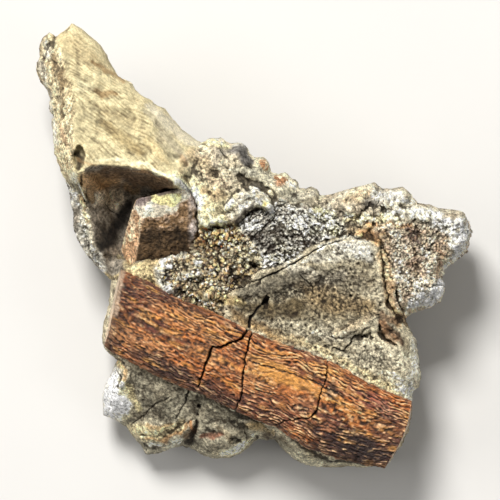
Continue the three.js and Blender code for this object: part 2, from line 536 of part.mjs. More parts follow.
// A tapering groove cutter that follows a path over a surface: open above, narrow at the bottom.
function grooveGeometry(path, surface) {
  const points = [];
  const faces = [];
  path.forEach(([x, y, width, depth], n) => {
    const before = path[Math.max(0, n - 1)];
    const after = path[Math.min(path.length - 1, n + 1)];
    const length = Math.hypot(after[0] - before[0], after[1] - before[1]);
    const side = [-(after[1] - before[1]) / length, (after[0] - before[0]) / length];
    const z = surface(x, y);
    for (const [offset, lift] of [[0.9, 2.5], [-0.9, 2.5], [-0.12, -depth], [0.12, -depth]]) {
      const spread = width * offset * (lift > 0 ? (depth + 2.5) / (depth + 1.2) : 1);
      points.push([x + side[0] * spread, y + side[1] * spread, z + lift]);
    }
  });
  for (let n = 0; n + 1 < path.length; n++) {
    for (let m = 0; m < 4; m++) {
      const [a, b] = [n * 4 + m, n * 4 + (m + 1) % 4];
      faces.push([a, b, b + 4], [a, b + 4, a + 4]);
    }
  }
  const last = (path.length - 1) * 4;
  faces.push([0, 2, 1], [0, 3, 2], [last, last + 1, last + 2], [last, last + 2, last + 3]);
  return indexedGeometry(points, faces);
}

// The hollow's cutter: open above, straight to the brink, then sloping in to the floor.
function hollowGeometry() {
  const floor = (x, y) => HOLLOW_FLOOR + HOLLOW_RISE * (y - 4) + 0.6 * rockLumps(x, y, 40);
  const count = HOLLOW_WALL.length;
  const points = [
    ...HOLLOW_WALL.map(([x, y]) => [x, y, HEIGHT + 3]),
    ...HOLLOW_WALL.map(([x, y]) => [x, y, upperHeight(x, y) - 0.3]),
    ...HOLLOW_WALL.map(([, , x, y]) => [x, y, floor(x, y)]),
    [-17.6, 3.6, HEIGHT + 3], [-18.6, 3.6, floor(-18.6, 3.6)],
  ];
  const faces = [];
  for (let n = 0; n < count; n++) {
    const m = (n + 1) % count;
    for (const low of [0, count]) {
      faces.push([low + n, low + m, low + count + m], [low + n, low + count + m, low + count + n]);
    }
    faces.push([m, n, 3 * count], [2 * count + n, 2 * count + m, 3 * count + 1]);
  }
  return indexedGeometry(points, faces);
}

// A rounded pit cutter sunk into the rock.
function pitGeometry([x, y, rx, ry, depth]) {
  const ball = new THREE.IcosahedronGeometry(1, 1);
  ball.scale(rx, ry, depth);
  ball.translate(x, y, upperHeight(x, y) + 0.1);
  return ball;
}

// A lump through a set of corners, grown outwards from its middle by `grow`.
function lumpGeometry(corners, grow) {
  const middle = [0, 1, 2].map((axis) => (
    corners.reduce((sum, p) => sum + p[axis], 0) / corners.length));
  return new ConvexGeometry(corners.map((p) => {
    const offset = new THREE.Vector3(...p.map((value, axis) => value - middle[axis]));
    offset.setLength(offset.length() + grow);
    return offset.add(new THREE.Vector3(...middle));
  }));
}

// Corners of a worn chip: points spread over a ball, each pushed in or out a little.
function chipCorners({ centre, reach }, seed) {
  const corners = [];
  for (let n = 0; n < 26; n++) {
    const z = 1 - (2 * n + 1) / 26;
    const turn = n * 2.39996;
    const swell = 0.86 + 0.14 * latticeValue(n, seed, 3, 9);
    const flat = Math.sqrt(1 - z * z) * swell;
    corners.push([
      centre[0] + reach[0] * flat * Math.cos(turn),
      centre[1] + reach[1] * flat * Math.sin(turn),
      centre[2] + reach[2] * z * swell,
    ]);
  }
  return corners;
}

const wasm = await Module();
wasm.setup();

function solid(geometry) {
  const bare = geometry.clone();
  bare.deleteAttribute('normal');
  bare.deleteAttribute('uv');
  const merged = mergeVertices(bare, 1e-5);
  return new wasm.Manifold(new wasm.Mesh({
    numProp: 3,
    vertProperties: new Float32Array(merged.attributes.position.array),
    triVerts: new Uint32Array(merged.index.array),
  }));
}

function largestPart(shape) {
  const parts = shape.decompose();
  return parts.reduce((best, part) => (part.volume() > best.volume() ? part : best));
}

function mesh(name, shape, look) {
  const { vertProperties, triVerts } = largestPart(shape).getMesh();
  const geometry = new THREE.BufferGeometry();
  geometry.setAttribute('position', new THREE.BufferAttribute(new Float32Array(vertProperties), 3));
  geometry.setIndex(new THREE.BufferAttribute(new Uint32Array(triVerts), 1));
  geometry.computeVertexNormals();
  const node = new THREE.Mesh(geometry, new THREE.MeshStandardMaterial(look));
  node.name = name;
  return node;
}

// ---- Assembly --------------------------------------------------------------------------------

const cutAll = (shape, cutters) => cutters.reduce((left, cutter) => left.subtract(cutter), shape);

const upperChip = chipCorners(UPPER_CHIP, 1);
const lowerChip = chipCorners(LOWER_CHIP, 2);

const rock = cutAll(solid(rockGeometry()), [
  solid(hollowGeometry()),
  solid(boneGeometry(FIT_GAP)),
  ...[BLOCK_CORNERS, upperChip, lowerChip].map((corners) => solid(lumpGeometry(corners, FIT_GAP * 1.3))),
  ...ROCK_GROOVES.map((path) => solid(grooveGeometry(path, upperHeight))),
  ...ROCK_PITS.map((pit) => solid(pitGeometry(pit))),
]);
const bone = cutAll(
  solid(boneGeometry(0)), BONE_CRACKS.map((path) => solid(grooveGeometry(path, boneTop))));

const part = new THREE.Group();
part.name = 'fossil_bone_in_rock';
part.add(
  mesh('matrix', rock, { color: 0xa89c82, roughness: 0.92, metalness: 0 }),
  mesh('long_bone', bone, { color: 0x8c4a20, roughness: 0.62, metalness: 0 }),
  mesh('bone_fragment', solid(lumpGeometry(BLOCK_CORNERS, 0)),
    { color: 0x7a6650, roughness: 0.8, metalness: 0 }),
  mesh('bone_chip_upper', solid(lumpGeometry(upperChip, 0)),
    { color: 0x8a4a30, roughness: 0.8, metalness: 0 }),
  mesh('bone_chip_lower', solid(lumpGeometry(lowerChip, 0)),
    { color: 0x8a4a30, roughness: 0.8, metalness: 0 }),
);

export default part;
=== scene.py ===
"""Looks of a weathered rock with a length of fossil reptile bone bedded in it.

Every surface is worked out with numpy as whole arrays, in millimetres in the part's frame, and
written to the mesh in metres. The rock is a patch stretched inside its outline, closed by rings
down the wall and under the body, with finer crusts on square grids over it. The bone is a rounded
section carried along its two long edges.
"""

import math

import bpy
import numpy as np
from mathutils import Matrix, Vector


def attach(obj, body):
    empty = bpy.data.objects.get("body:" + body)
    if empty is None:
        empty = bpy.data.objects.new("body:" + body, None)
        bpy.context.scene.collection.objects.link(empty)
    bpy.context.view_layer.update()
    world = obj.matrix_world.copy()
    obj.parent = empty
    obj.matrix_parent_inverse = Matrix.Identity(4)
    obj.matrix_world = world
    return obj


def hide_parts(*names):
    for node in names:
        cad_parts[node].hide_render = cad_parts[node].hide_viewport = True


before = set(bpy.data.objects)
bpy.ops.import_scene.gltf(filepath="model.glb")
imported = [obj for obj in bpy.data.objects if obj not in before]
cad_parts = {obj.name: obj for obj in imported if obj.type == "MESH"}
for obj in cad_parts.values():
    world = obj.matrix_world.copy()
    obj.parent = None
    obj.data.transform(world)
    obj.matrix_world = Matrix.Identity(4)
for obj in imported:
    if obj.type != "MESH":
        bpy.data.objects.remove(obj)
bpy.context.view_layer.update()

MM = 0.001

# Height that the camera and the lamps are aimed at, in metres.
FOCUS_HEIGHT = 0.012

# Lowest and highest linear colour value of the rock, of the long bone and of the small pieces.
ROCK_RANGE = (0.003, 0.88)
BONE_RANGE = (0.003, 0.85)
SMALL_RANGE = (0.004, 0.88)

# ---- Sizes shared with the part --------------------

HEIGHT = 26.0

# The upper edge: its rounding in plan, and the share of its height over the rim that it drops.
EDGE_ROUNDING = 2.6
EDGE_DROP = 0.5

# The rim, the rock's widest line: its height, its rise with y, and how far it wanders.
RIM_HEIGHT = 7.5
RIM_RISE = 0.15
RIM_WANDER = 1.6

# The flat underside: its farthest reach, its share of the outline's reach, and its middle.
FOOT_REACH = 21.0
FOOT_SHARE = 0.8
FOOT_MIDDLE = np.array([-6.5, -2.5])

# Share of the sheet over which the outline's wiggles fade, and the points and averaging passes of
# the smooth lines that they stand off from.
EDGE_FADE = 0.1
GUIDE_POINTS = 201
GUIDE_PASSES = 300

# The bone: arch of its back over its long edges, depth below them, bulge of its right end.
BONE_ARCH = 2.7
BONE_DEPTH = 4.2
BONE_END_BULGE = 1.0

# Width of a groove's floor as a share of its own width, while it is shallow.
GROOVE_FLOOR = 0.12

# ---- Fineness of the meshes --------------------

# Cells along each side of the rock's sheet and about how wide one is, rings down the wall and
# under the body, and how often the outline is averaged that the lowest rings pass into.
SHEET_CELLS = 200
SHEET_STEP = 0.3
WALL_ROWS = 40
UNDER_ROWS = 16
FOOT_PASSES = 259

# A crust's grid: its step, how far from the middle it may reach, how deep its closing point lies.
CRUST_STEP = 0.11
CRUST_LIMIT = 31.5
CRUST_ROOT = 6

# The bone's sections along it, and the points of a section above and below its long edges.
BONE_STEPS = 470
BONE_TOP_SIDES = 150
BONE_LOW_SIDES = 40

# ---- Outline of the rock, four sides, clockwise from the tip of the arm --------------------

TOP_SIDE = [
    (-28.2, 29.3), (-27.4, 28.6), (-26.3, 29.5), (-25, 30.7), (-23.5, 29.7), (-21.7, 28.2),
    (-20.7, 26.7), (-20.1, 25.4), (-18.9, 23.5), (-17.1, 22.4), (-15.8, 20.9), (-14.4, 20.1),
    (-13.4, 19.2), (-12.6, 19.1), (-11.3, 17.6), (-10.1, 16), (-8.6, 15.1), (-7.3, 14.1),
    (-6.2, 14.7), (-4.4, 14.8), (-3.5, 14), (-1.9, 14.1), (-1.1, 13.7), (-0.8, 12.7),
    (0, 12.2), (1.2, 12.2), (1.9, 11.3), (2.2, 10.1), (3.3, 9.8), (4.4, 10),
    (4.8, 9.3), (5.8, 8.9), (6.2, 8), (7.1, 7.7), (8, 8), (8.7, 7.6),
    (9.1, 6.8), (10.2, 6.8), (12, 7.3), (14, 7.9), (15.5, 8.2), (16.6, 8.6),
    (17.6, 7.7), (19.1, 7.7), (20.6, 8), (21.4, 7.1), (22.5, 5.7), (24.3, 5.5),
    (25.3, 5), (27.4, 4.8), (28.6, 4.6), (29.5, 3.3), (30, 2.1),
]
RIGHT_SIDE = [
    (30, 2.1), (29.6, 0.4), (29.5, -0.7), (27.8, -1.9), (26.3, -3.2), (25.9, -4.3),
    (26.3, -6.1), (25.7, -7.6), (24.1, -8.4), (21.8, -9.1), (20.7, -10), (21.4, -11.6),
    (22.3, -13.1), (22.5, -15.1), (23.1, -17.7), (22.7, -19.5), (21.8, -20.2), (21.7, -22.7),
    (21.6, -24.9), (20.7, -27.1), (19.5, -29), (18.1, -30.6),
]
BOTTOM_SIDE = [
    (18.1, -30.6), (15.3, -30.7), (11.2, -30.7), (8.4, -30.6), (6.4, -30), (4.7, -28.9),
    (3.6, -27.5), (2.9, -26.7), (1.8, -27.1), (0.6, -26.8), (-0.6, -27.8), (-1.9, -28.9),
    (-3.3, -29.5), (-5.5, -29.6), (-7.1, -29.2), (-8.4, -28.3), (-10, -27.8), (-11.6, -28.1),
    (-13.4, -28.8), (-15.1, -29), (-15.6, -27.8), (-16.7, -26.6), (-17.6, -25.3),
    (-19.2, -24.2), (-20.9, -23.5),
]
LEFT_SIDE = [
    (-20.9, -23.5), (-21, -21.3), (-20.7, -19.6), (-19.6, -17.4), (-18.9, -15.8),
    (-19.5, -15.1), (-20.7, -14.1), (-20.9, -12.3), (-20.5, -10), (-19.9, -7.5),
    (-19.5, -4.7), (-20.7, -3.6), (-21.7, -2.6), (-23, -1.1), (-24.2, 0.8), (-24.8, 2.5),
    (-24.8, 4.7), (-25.2, 6.4), (-25.3, 7.7), (-26, 9.4), (-27, 11.5), (-27.5, 12.9),
    (-27.4, 14), (-27.7, 16), (-27.7, 18.1), (-28.2, 19.1), (-27.9, 20.2), (-28.5, 21.8),
    (-29.6, 23.1), (-30, 24.3), (-29.9, 25.4), (-29.5, 26.1), (-29.6, 27.5), (-29, 28.9),
    (-28.2, 29.3),
]
OUTLINE = TOP_SIDE[:-1] + RIGHT_SIDE[:-1] + BOTTOM_SIDE[:-1] + LEFT_SIDE[:-1]

# ---- Fields of the rock's upper surface, laid one over another --------------------
# edge in plan; planes (x, y, z, rise in x, rise in y), the lowest counts; soft: width over which
# the field is reached; finish: share of the big lumps, then millimetres of crags, knobs, crumbs
# and pits; colours: main and second, as screen values 0..255.

FIELDS = {
    "wall": dict(finish=(1, 0.3, 0.2, 0.14, 0.25), colours=((186, 176, 150), (150, 138, 112))),
    "bed": dict(
        edge=[(-11, 12), (-5, 18), (14, 12), (34, 10), (34, -12), (24, -14), (26, -24), (4, -20),
              (-10, -9), (-8, 0)],
        planes=[(0, 0, 18.5, 0, 0.08)],
        soft=2, finish=(1, 0.3, 0.2, 0.14, 0.2), colours=((176, 160, 130), (130, 112, 86))),
    "left rim": dict(
        edge=[(-32, 13), (-23.5, 13), (-23.6, 6.4), (-22.2, 1.5), (-20.7, -2.2), (-20.5, -6),
              (-32, -8)],
        planes=[(-24.1, 4.3, 16.5, 0.25, 0.6)],
        soft=1.6, finish=(1.2, 0.6, 0.5, 0.36, 0.5), colours=((206, 200, 184), (116, 108, 94))),
    "upper body": dict(
        edge=[(-12.3, 22), (-3, 18), (3, 16), (14, 9), (12.6, 5.7), (10.5, 4.3), (5, 5),
              (1.1, 5.7), (-1.9, 4.3), (-2.6, 2.8), (-7.5, 2.5), (-8, 5.7), (-10.8, 8.2),
              (-12.3, 10.5)],
        planes=[(-1.2, 7.7, 20.3, -0.22, -0.1)],
        soft=1.2, finish=(0.9, 0.34, 0.2, 0.1, 0.1), colours=((206, 194, 164), (164, 154, 134))),
    "arm": dict(
        edge=[(-34, 34), (-20, 34), (-5.5, 16), (-7.3, 14.1), (-8.9, 11.2), (-10.4, 8.2),
              (-12, 6), (-16, 6), (-21.5, 6.5), (-23.4, 9), (-25.5, 9.2), (-34, 9)],
        planes=[(-19.2, 18.8, 22.6, -0.13, -0.37), (-24.1, 11.2, 26, 2.2, -0.01),
                (-9, 12, 22.4, -0.55, -0.55)],
        soft=2.4, finish=(0.45, 0.05, 0, 0.01, 0), colours=((197, 185, 146), (156, 140, 105))),
    "arm side": dict(
        edge=[(-34, 31), (-27.6, 29), (-26.3, 27.1), (-25.8, 24.3), (-24.9, 21.6), (-24.4, 17.4),
              (-24.5, 13.3), (-24.4, 11), (-25.5, 9.4), (-34, 9.4)],
        planes=[],
        soft=0.7, finish=(0.45, 0.26, 0.14, 0.1, 0.22), colours=((204, 188, 152), (138, 120, 90))),
    "cream apron": dict(
        edge=[(-11, 10), (-8.4, 9.4), (-5, 7.8), (-2.6, 6.4), (-2.2, 4.3), (-4, 3), (-7.9, 2.5),
              (-8, 5.7), (-9.8, 7.6)],
        planes=[],
        soft=2, finish=(0.6, 0.16, 0.06, 0.05, 0.03), colours=((226, 214, 172), (202, 186, 142))),
    "cream ledge": dict(
        edge=[(-20.5, -1.2), (-17.6, -1.6), (-15.6, 0.5), (-8.5, 0.5), (-8.9, -0.7),
              (-11.6, -2.2), (-12.7, -4), (-11, -7.5), (-15.1, -5.6), (-21.5, -4)],
        planes=[(-13, -3, 17.5, 0.1, -0.05), (-18.5, -3, 15.6, 0.8, 0)],
        soft=0.8, finish=(0.6, 0.16, 0.1, 0.1, 0.1), colours=((184, 167, 128), (144, 126, 92))),
    "granular ground": dict(
        edge=[(-12.7, -2.2), (-8.9, -0.7), (-7.7, 1.1), (-7.5, 2.6), (-2.5, 2.9), (1.1, -0.6),
              (1.1, -3.3), (-1.9, -5.8), (-4, -9.5), (-11, -7.5), (-13, -4)],
        planes=[(-5.5, -2, 18.6, 0.03, 0.16)],
        soft=0.8, finish=(1, 0.42, 0.6, 0.26, 0.1), colours=((210, 194, 158), (108, 92, 74))),
    "dark layers": dict(
        edge=[(-2.5, 2.9), (-1.1, 4.7), (2.2, 5.4), (6.4, 5.4), (10.5, 5.3), (12.6, 4.1),
              (12.2, 1.8), (9.8, 0.4), (7.1, -0.7), (4.3, -2.8), (1.1, -3.6), (0.6, -0.6),
              (-1.9, 1.9)],
        planes=[(5, 2, 19.2, 0, 0.02)],
        soft=0.8, finish=(0.9, 0.12, 0.06, 0.12, 0.06), colours=((176, 172, 160), (78, 70, 62))),
    "hooked ridge": dict(
        edge=[(-4, 4.1), (-1.2, 7.1), (0.6, 7.7), (1.9, 6.6), (2.5, 5), (1.1, 5.4),
              (-1.2, 4.7), (-2.8, 2.9)],
        planes=[(0, 6, 21.4, 0.05, 0.1)],
        soft=0.7, finish=(0.6, 0.2, 0.12, 0.12, 0.15), colours=((204, 198, 176), (120, 104, 84))),
    "right lobe": dict(
        edge=[(17, 4.6), (22.3, 5), (32, 6), (34, -4), (28, -10), (21.9, -11.5),
              (20.7, -9.5), (18.5, -5.4), (17.2, -2.2)],
        planes=[(23, -3, 18.3, -0.07, 0.12)],
        soft=2, finish=(0.8, 0.3, 0.22, 0.28, 0.16), colours=((226, 214, 192), (160, 136, 114))),
    "right ridge": dict(
        edge=[(9.5, 7), (12, 11), (24, 11), (34, 8), (29, 3.4), (25.7, 3.3), (22.3, 3),
              (18.8, 3.2), (15.4, 3.2), (12.2, 3), (11.1, 4.7)],
        planes=[(17, 5.5, 19.4, -0.03, 0.1)],
        soft=1, finish=(1, 0.5, 0.42, 0.2, 0.22), colours=((200, 190, 166), (146, 134, 114))),
    "slab": dict(
        edge=[(-1.9, -5.8), (1.1, -3.6), (4.3, -2.6), (7.1, -0.7), (9.8, 0.4), (12.6, 1.4),
              (14.9, 0.8), (16.9, 0.1), (17.6, -4), (18.1, -8.2), (19.6, -10.5), (25, -13.7),
              (26, -21), (17.4, -21), (6.4, -16), (-4, -10.5), (-4, -7.9)],
        planes=[(9.8, -7.5, 19.3, 0.02, 0.21), (12, -2.3, 20.36, 0.02, -0.04)],
        soft=0.5, finish=(0.75, 0.24, 0.12, 0.12, 0.14), colours=((182, 173, 148), (136, 126, 103))),
    "seat of the small block": dict(
        edge=[(-16.3, 6.8), (-14.1, 7.6), (-8.9, 7.9), (-7.7, 5.8), (-7.8, 2), (-8.5, -1.3),
              (-15.2, -2), (-17, -2.4), (-18.6, -1.2), (-17.6, 3)],
        planes=[(-12, 0, 14.9, 0, 0.05), (-18, 0, 12.4, 1.2, 0)],
        soft=0.6, finish=(0.2, 0.1, 0.1, 0.05, 0), colours=((104, 84, 60), (80, 64, 46))),
    "lower face": dict(
        edge=[(-26, -14.6), (-18.8, -15.1), (-15.8, -16.6), (-9.5, -19.5), (-2.6, -22.6),
              (3.2, -24.6), (3.4, -34), (-26, -34)],
        planes=[(-10.2, -23.4, 10.9, 0.22, 0.75)],
        soft=0.8, finish=(1.1, 0.16, 0.06, 0.07, 0.05), colours=((156, 149, 128), (124, 116, 97))),
    "lower right foot": dict(
        edge=[(2.6, -24.6), (4.6, -25.6), (7.7, -27.9), (11.2, -29.2), (18.1, -30.2), (19, -34),
              (2, -34)],
        planes=[(8, -28.5, 11, 0, 0.9)],
        soft=0.8, finish=(0.8, 0.18, 0.12, 0.06, 0.12), colours=((178, 170, 146), (150, 138, 112))),
    "hollow": dict(finish=(0.4, 0.1, 0.05, 0.02, 0), colours=((150, 141, 126), (112, 102, 88))),
}

# The hollow under the arm: its brink in plan, and the slope of its floor.
HOLLOW_BRINK = [
    (-23.2, 10.6), (-22.4, 11), (-20.2, 11), (-17.1, 10.9), (-13.2, 10), (-10.8, 8.7),
    (-12, 5), (-12.6, 1), (-14.8, -2), (-17.4, -3.2), (-19.4, -4.4), (-21, -3), (-21.9, 0.8),
    (-22.8, 4.4), (-23.2, 6.6), (-23.2, 9),
]
HOLLOW_FLOOR = 13.2
HOLLOW_RISE = 0.2
HOLLOW_RAMP = 3.1

# Lumps and dents of the upper surface: x, y, radius along x, radius along y, height.
LUMPS = [
    (-18.9, -20.2, 2.6, 4.6, 1.2), (-5, 1.7, 3, 1.3, 0.9), (-14.5, -25.5, 3.4, 2.4, 1.5),
    (-4, -27, 3.8, 2.2, 1.5),
    (0.5, -25.6, 2.2, 1.6, 0.7), (-13, -20.5, 2.6, 2.2, 0.7), (-7.8, -22.3, 1.1, 2.4, -0.4),
    (-27.9, 27.8, 1.5, 1.8, -1.4), (-26.2, 15.4, 1.4, 2.6, 1), (-25.2, 7, 1.4, 2, 0.4),
    (-24, -0.6, 1.6, 1.8, 0.8), (-14.5, 22, 3.2, 4.2, 0.6), (-19, 13.5, 3.6, 2.6, 0.6),
    (-12.5, 13, 3, 3, 0.5), (-22, 24, 2.4, 3.2, 0.5), (-17, 17.5, 1.6, 3.8, -0.5),
    (-4.6, 13.6, 2.2, 1.6, 0.8), (-1.4, 12.2, 1.6, 1.7, 1.1), (1.2, 11.2, 1.2, 1.2, -0.7),
    (6.2, 8.1, 1.5, 1.5, 1), (3.4, 8.2, 1.8, 1.6, 0.2), (10.8, 5.7, 2, 1.7, 0.8),
    (14.2, 5.9, 2.1, 2.3, 1), (19, 6.6, 2.6, 1.9, 0.8), (23, 4.3, 3.4, 1.7, 0.6),
    (27.4, 3.6, 2, 1.6, 0.6), (28, 0.4, 1.8, 2, 0.7), (23.6, -5.5, 2.6, 2.6, 0.7),
    (22.3, 1.9, 1.2, 1.2, -0.7), (11.2, -6.2, 5.2, 4.6, -1.1), (14.5, -0.6, 3, 1.8, 0.6),
    (19.6, -15, 3, 4, 0.6), (14.6, -12.5, 3.2, 1.6, -0.6), (18.7, -12.2, 1.8, 1.8, -0.7),
    (-5.5, 9.7, 1.3, 1.3, -0.25), (-9.3, 11.1, 0.9, 0.9, -0.3), (-6.6, 5, 2, 1.4, 0.5),
    (0, -2.4, 1.2, 1.2, -1.4), (-9, -4, 2.6, 3, 0.4), (-3.5, 0, 2.2, 1.6, 0.5),
    (6.8, 6.8, 1.1, 1.1, 0.7), (8.2, 7.3, 0.9, 0.9, 0.6), (5, 8, 1.2, 1.2, 0.5),
    (-2.5, 13, 1.2, 1.2, 0.7), (-5.4, 13.8, 1.9, 0.7, 0.7), (-5.1, 8.2, 1.3, 1.3, 0.5),
    (12.6, 5.4, 0.9, 1, 0.6), (14.7, 6.6, 1, 1.1, 0.5), (16.3, 7.7, 1, 0.8, 0.5),
    (18.5, 6.8, 1.1, 0.9, 0.6), (20.5, 6.9, 0.9, 0.9, 0.5), (21.9, 4.7, 1.2, 0.8, 0.4),
    (19.5, 5, 1, 0.7, 0.4), (25.7, 3.9, 1.1, 0.8, 0.5), (28.2, 3.3, 0.9, 0.8, 0.5),
    (27.1, 1.9, 1, 0.9, 0.4), (28.8, 0.8, 0.8, 1, 0.5), (-9.5, 11.2, 1.3, 1.3, 0.4),
    (-5.4, 10, 2, 2, 0.5), (19.1, -12.4, 0.7, 0.6, 0.8),
]

# Open grooves in the rock: x, y, width, depth at each point of the path.
ROCK_GROOVES = [
    [(12.6, 2, 0.5, 0.3), (14.9, 2.4, 0.9, 0.5), (16.9, 2, 1.1, 0.6), (17.5, -0.1, 1.1, 0.9),
     (17.9, -2.6, 1.4, 1), (18.4, -5.4, 2.2, 1.2), (19.2, -7.7, 3, 1.3), (20.9, -10.4, 2.8, 1.2)],
    [(17.3, -10.7, 0.5, 0.7), (17.3, -11.9, 0.8, 1.3), (18.1, -13, 0.9, 1.4), (19.6, -13.6, 0.6, 0.9)],
    [(-7.9, -23.9, 0.6, 0.5), (-8, -25, 1.2, 1.1), (-8.8, -26.8, 1.7, 1.5),
     (-10.4, -29, 2, 1.6)],
]

# Open pits in the rock: x, y, radius in x, radius in y, depth.
ROCK_PITS = [
    (-23.8, 11.9, 0.9, 1.8, 2.1), (16.2, -12.6, 0.35, 0.3, 0.5),
    (-5.4, 10, 1, 0.9, 0.35), (-2.7, -26.9, 0.95, 0.65, 0.7), (-9.5, 11.2, 0.6, 0.55, 0.25),
    (-6.1, 7.3, 0.42, 0.42, 0.3), (-7.6, -22.1, 0.36, 0.36, 0.8), (-7.7, -23.3, 0.24, 0.28, 0.6),
    (0.3, -2.4, 0.7, 0.6, 0.8), (13.3, -12.6, 0.4, 0.22, 0.4), (15.1, -12.4, 0.5, 0.22, 0.4),
    (1.7, -7.7, 0.55, 1.1, 1.3), (17.3, -7.9, 0.3, 0.45, 0.5), (13.3, -6.8, 0.2, 0.24, 0.4),
    (8, -7.9, 0.24, 0.22, 0.4),
    (7.1, -10.9, 0.3, 0.26, 0.4), (10.6, -5.6, 0.18, 0.16, 0.3), (14.3, -7.2, 0.16, 0.18, 0.3),
    (8.9, -5.4, 0.16, 0.16, 0.3), (11.8, -8.6, 0.16, 0.2, 0.3), (2.6, -27.3, 0.8, 0.6, 0.8),
]

# Fine cracks in the rock: x, y and width at each point of the path.
ROCK_CRACKS = [
    [(-8.9, -19.6, 0.1), (-9.4, -21.3, 0.08), (-10.5, -23.4, 0.05), (-11.8, -25, 0.02)],
    [(-10.4, -19.8, 0.02), (-12.3, -21.4, 0.05), (-13.4, -21.7, 0.05), (-15.8, -23.8, 0.06),
     (-17.3, -25.2, 0.03)],
    [(-20.7, 7, 0.08), (-20.5, 6, 0.12), (-20, 5.2, 0.14), (-18.8, 4.2, 0.12), (-17.9, 3.9, 0.08)],
    [(-4.2, -6.6, 0.14), (-1.9, -5.6, 0.18), (1.2, -4.4, 0.22), (4.4, -2.9, 0.2),
     (7.3, -1.3, 0.18), (9.9, 0.2, 0.2), (12.6, 1.2, 0.22), (13.4, 1.9, 0.16)],
    [(6.4, -4.1, 0.06), (7.5, -5.1, 0.1), (8.2, -6.3, 0.08)],
    [(23, -5.1, 0.08), (24.1, -5.7, 0.14), (25, -5.4, 0.12), (26.2, -5.6, 0.14)],
    [(10.8, -14, 0.1), (12.4, -14.4, 0.2), (13.2, -13.4, 0.16), (13.6, -12.5, 0.2),
     (14.6, -12, 0.18), (15.4, -11.3, 0.1)],
    [(1.4, -7.8, 0.4), (0.4, -8.7, 0.34), (-0.3, -9.8, 0.36), (-0.6, -11, 0.4)],
]

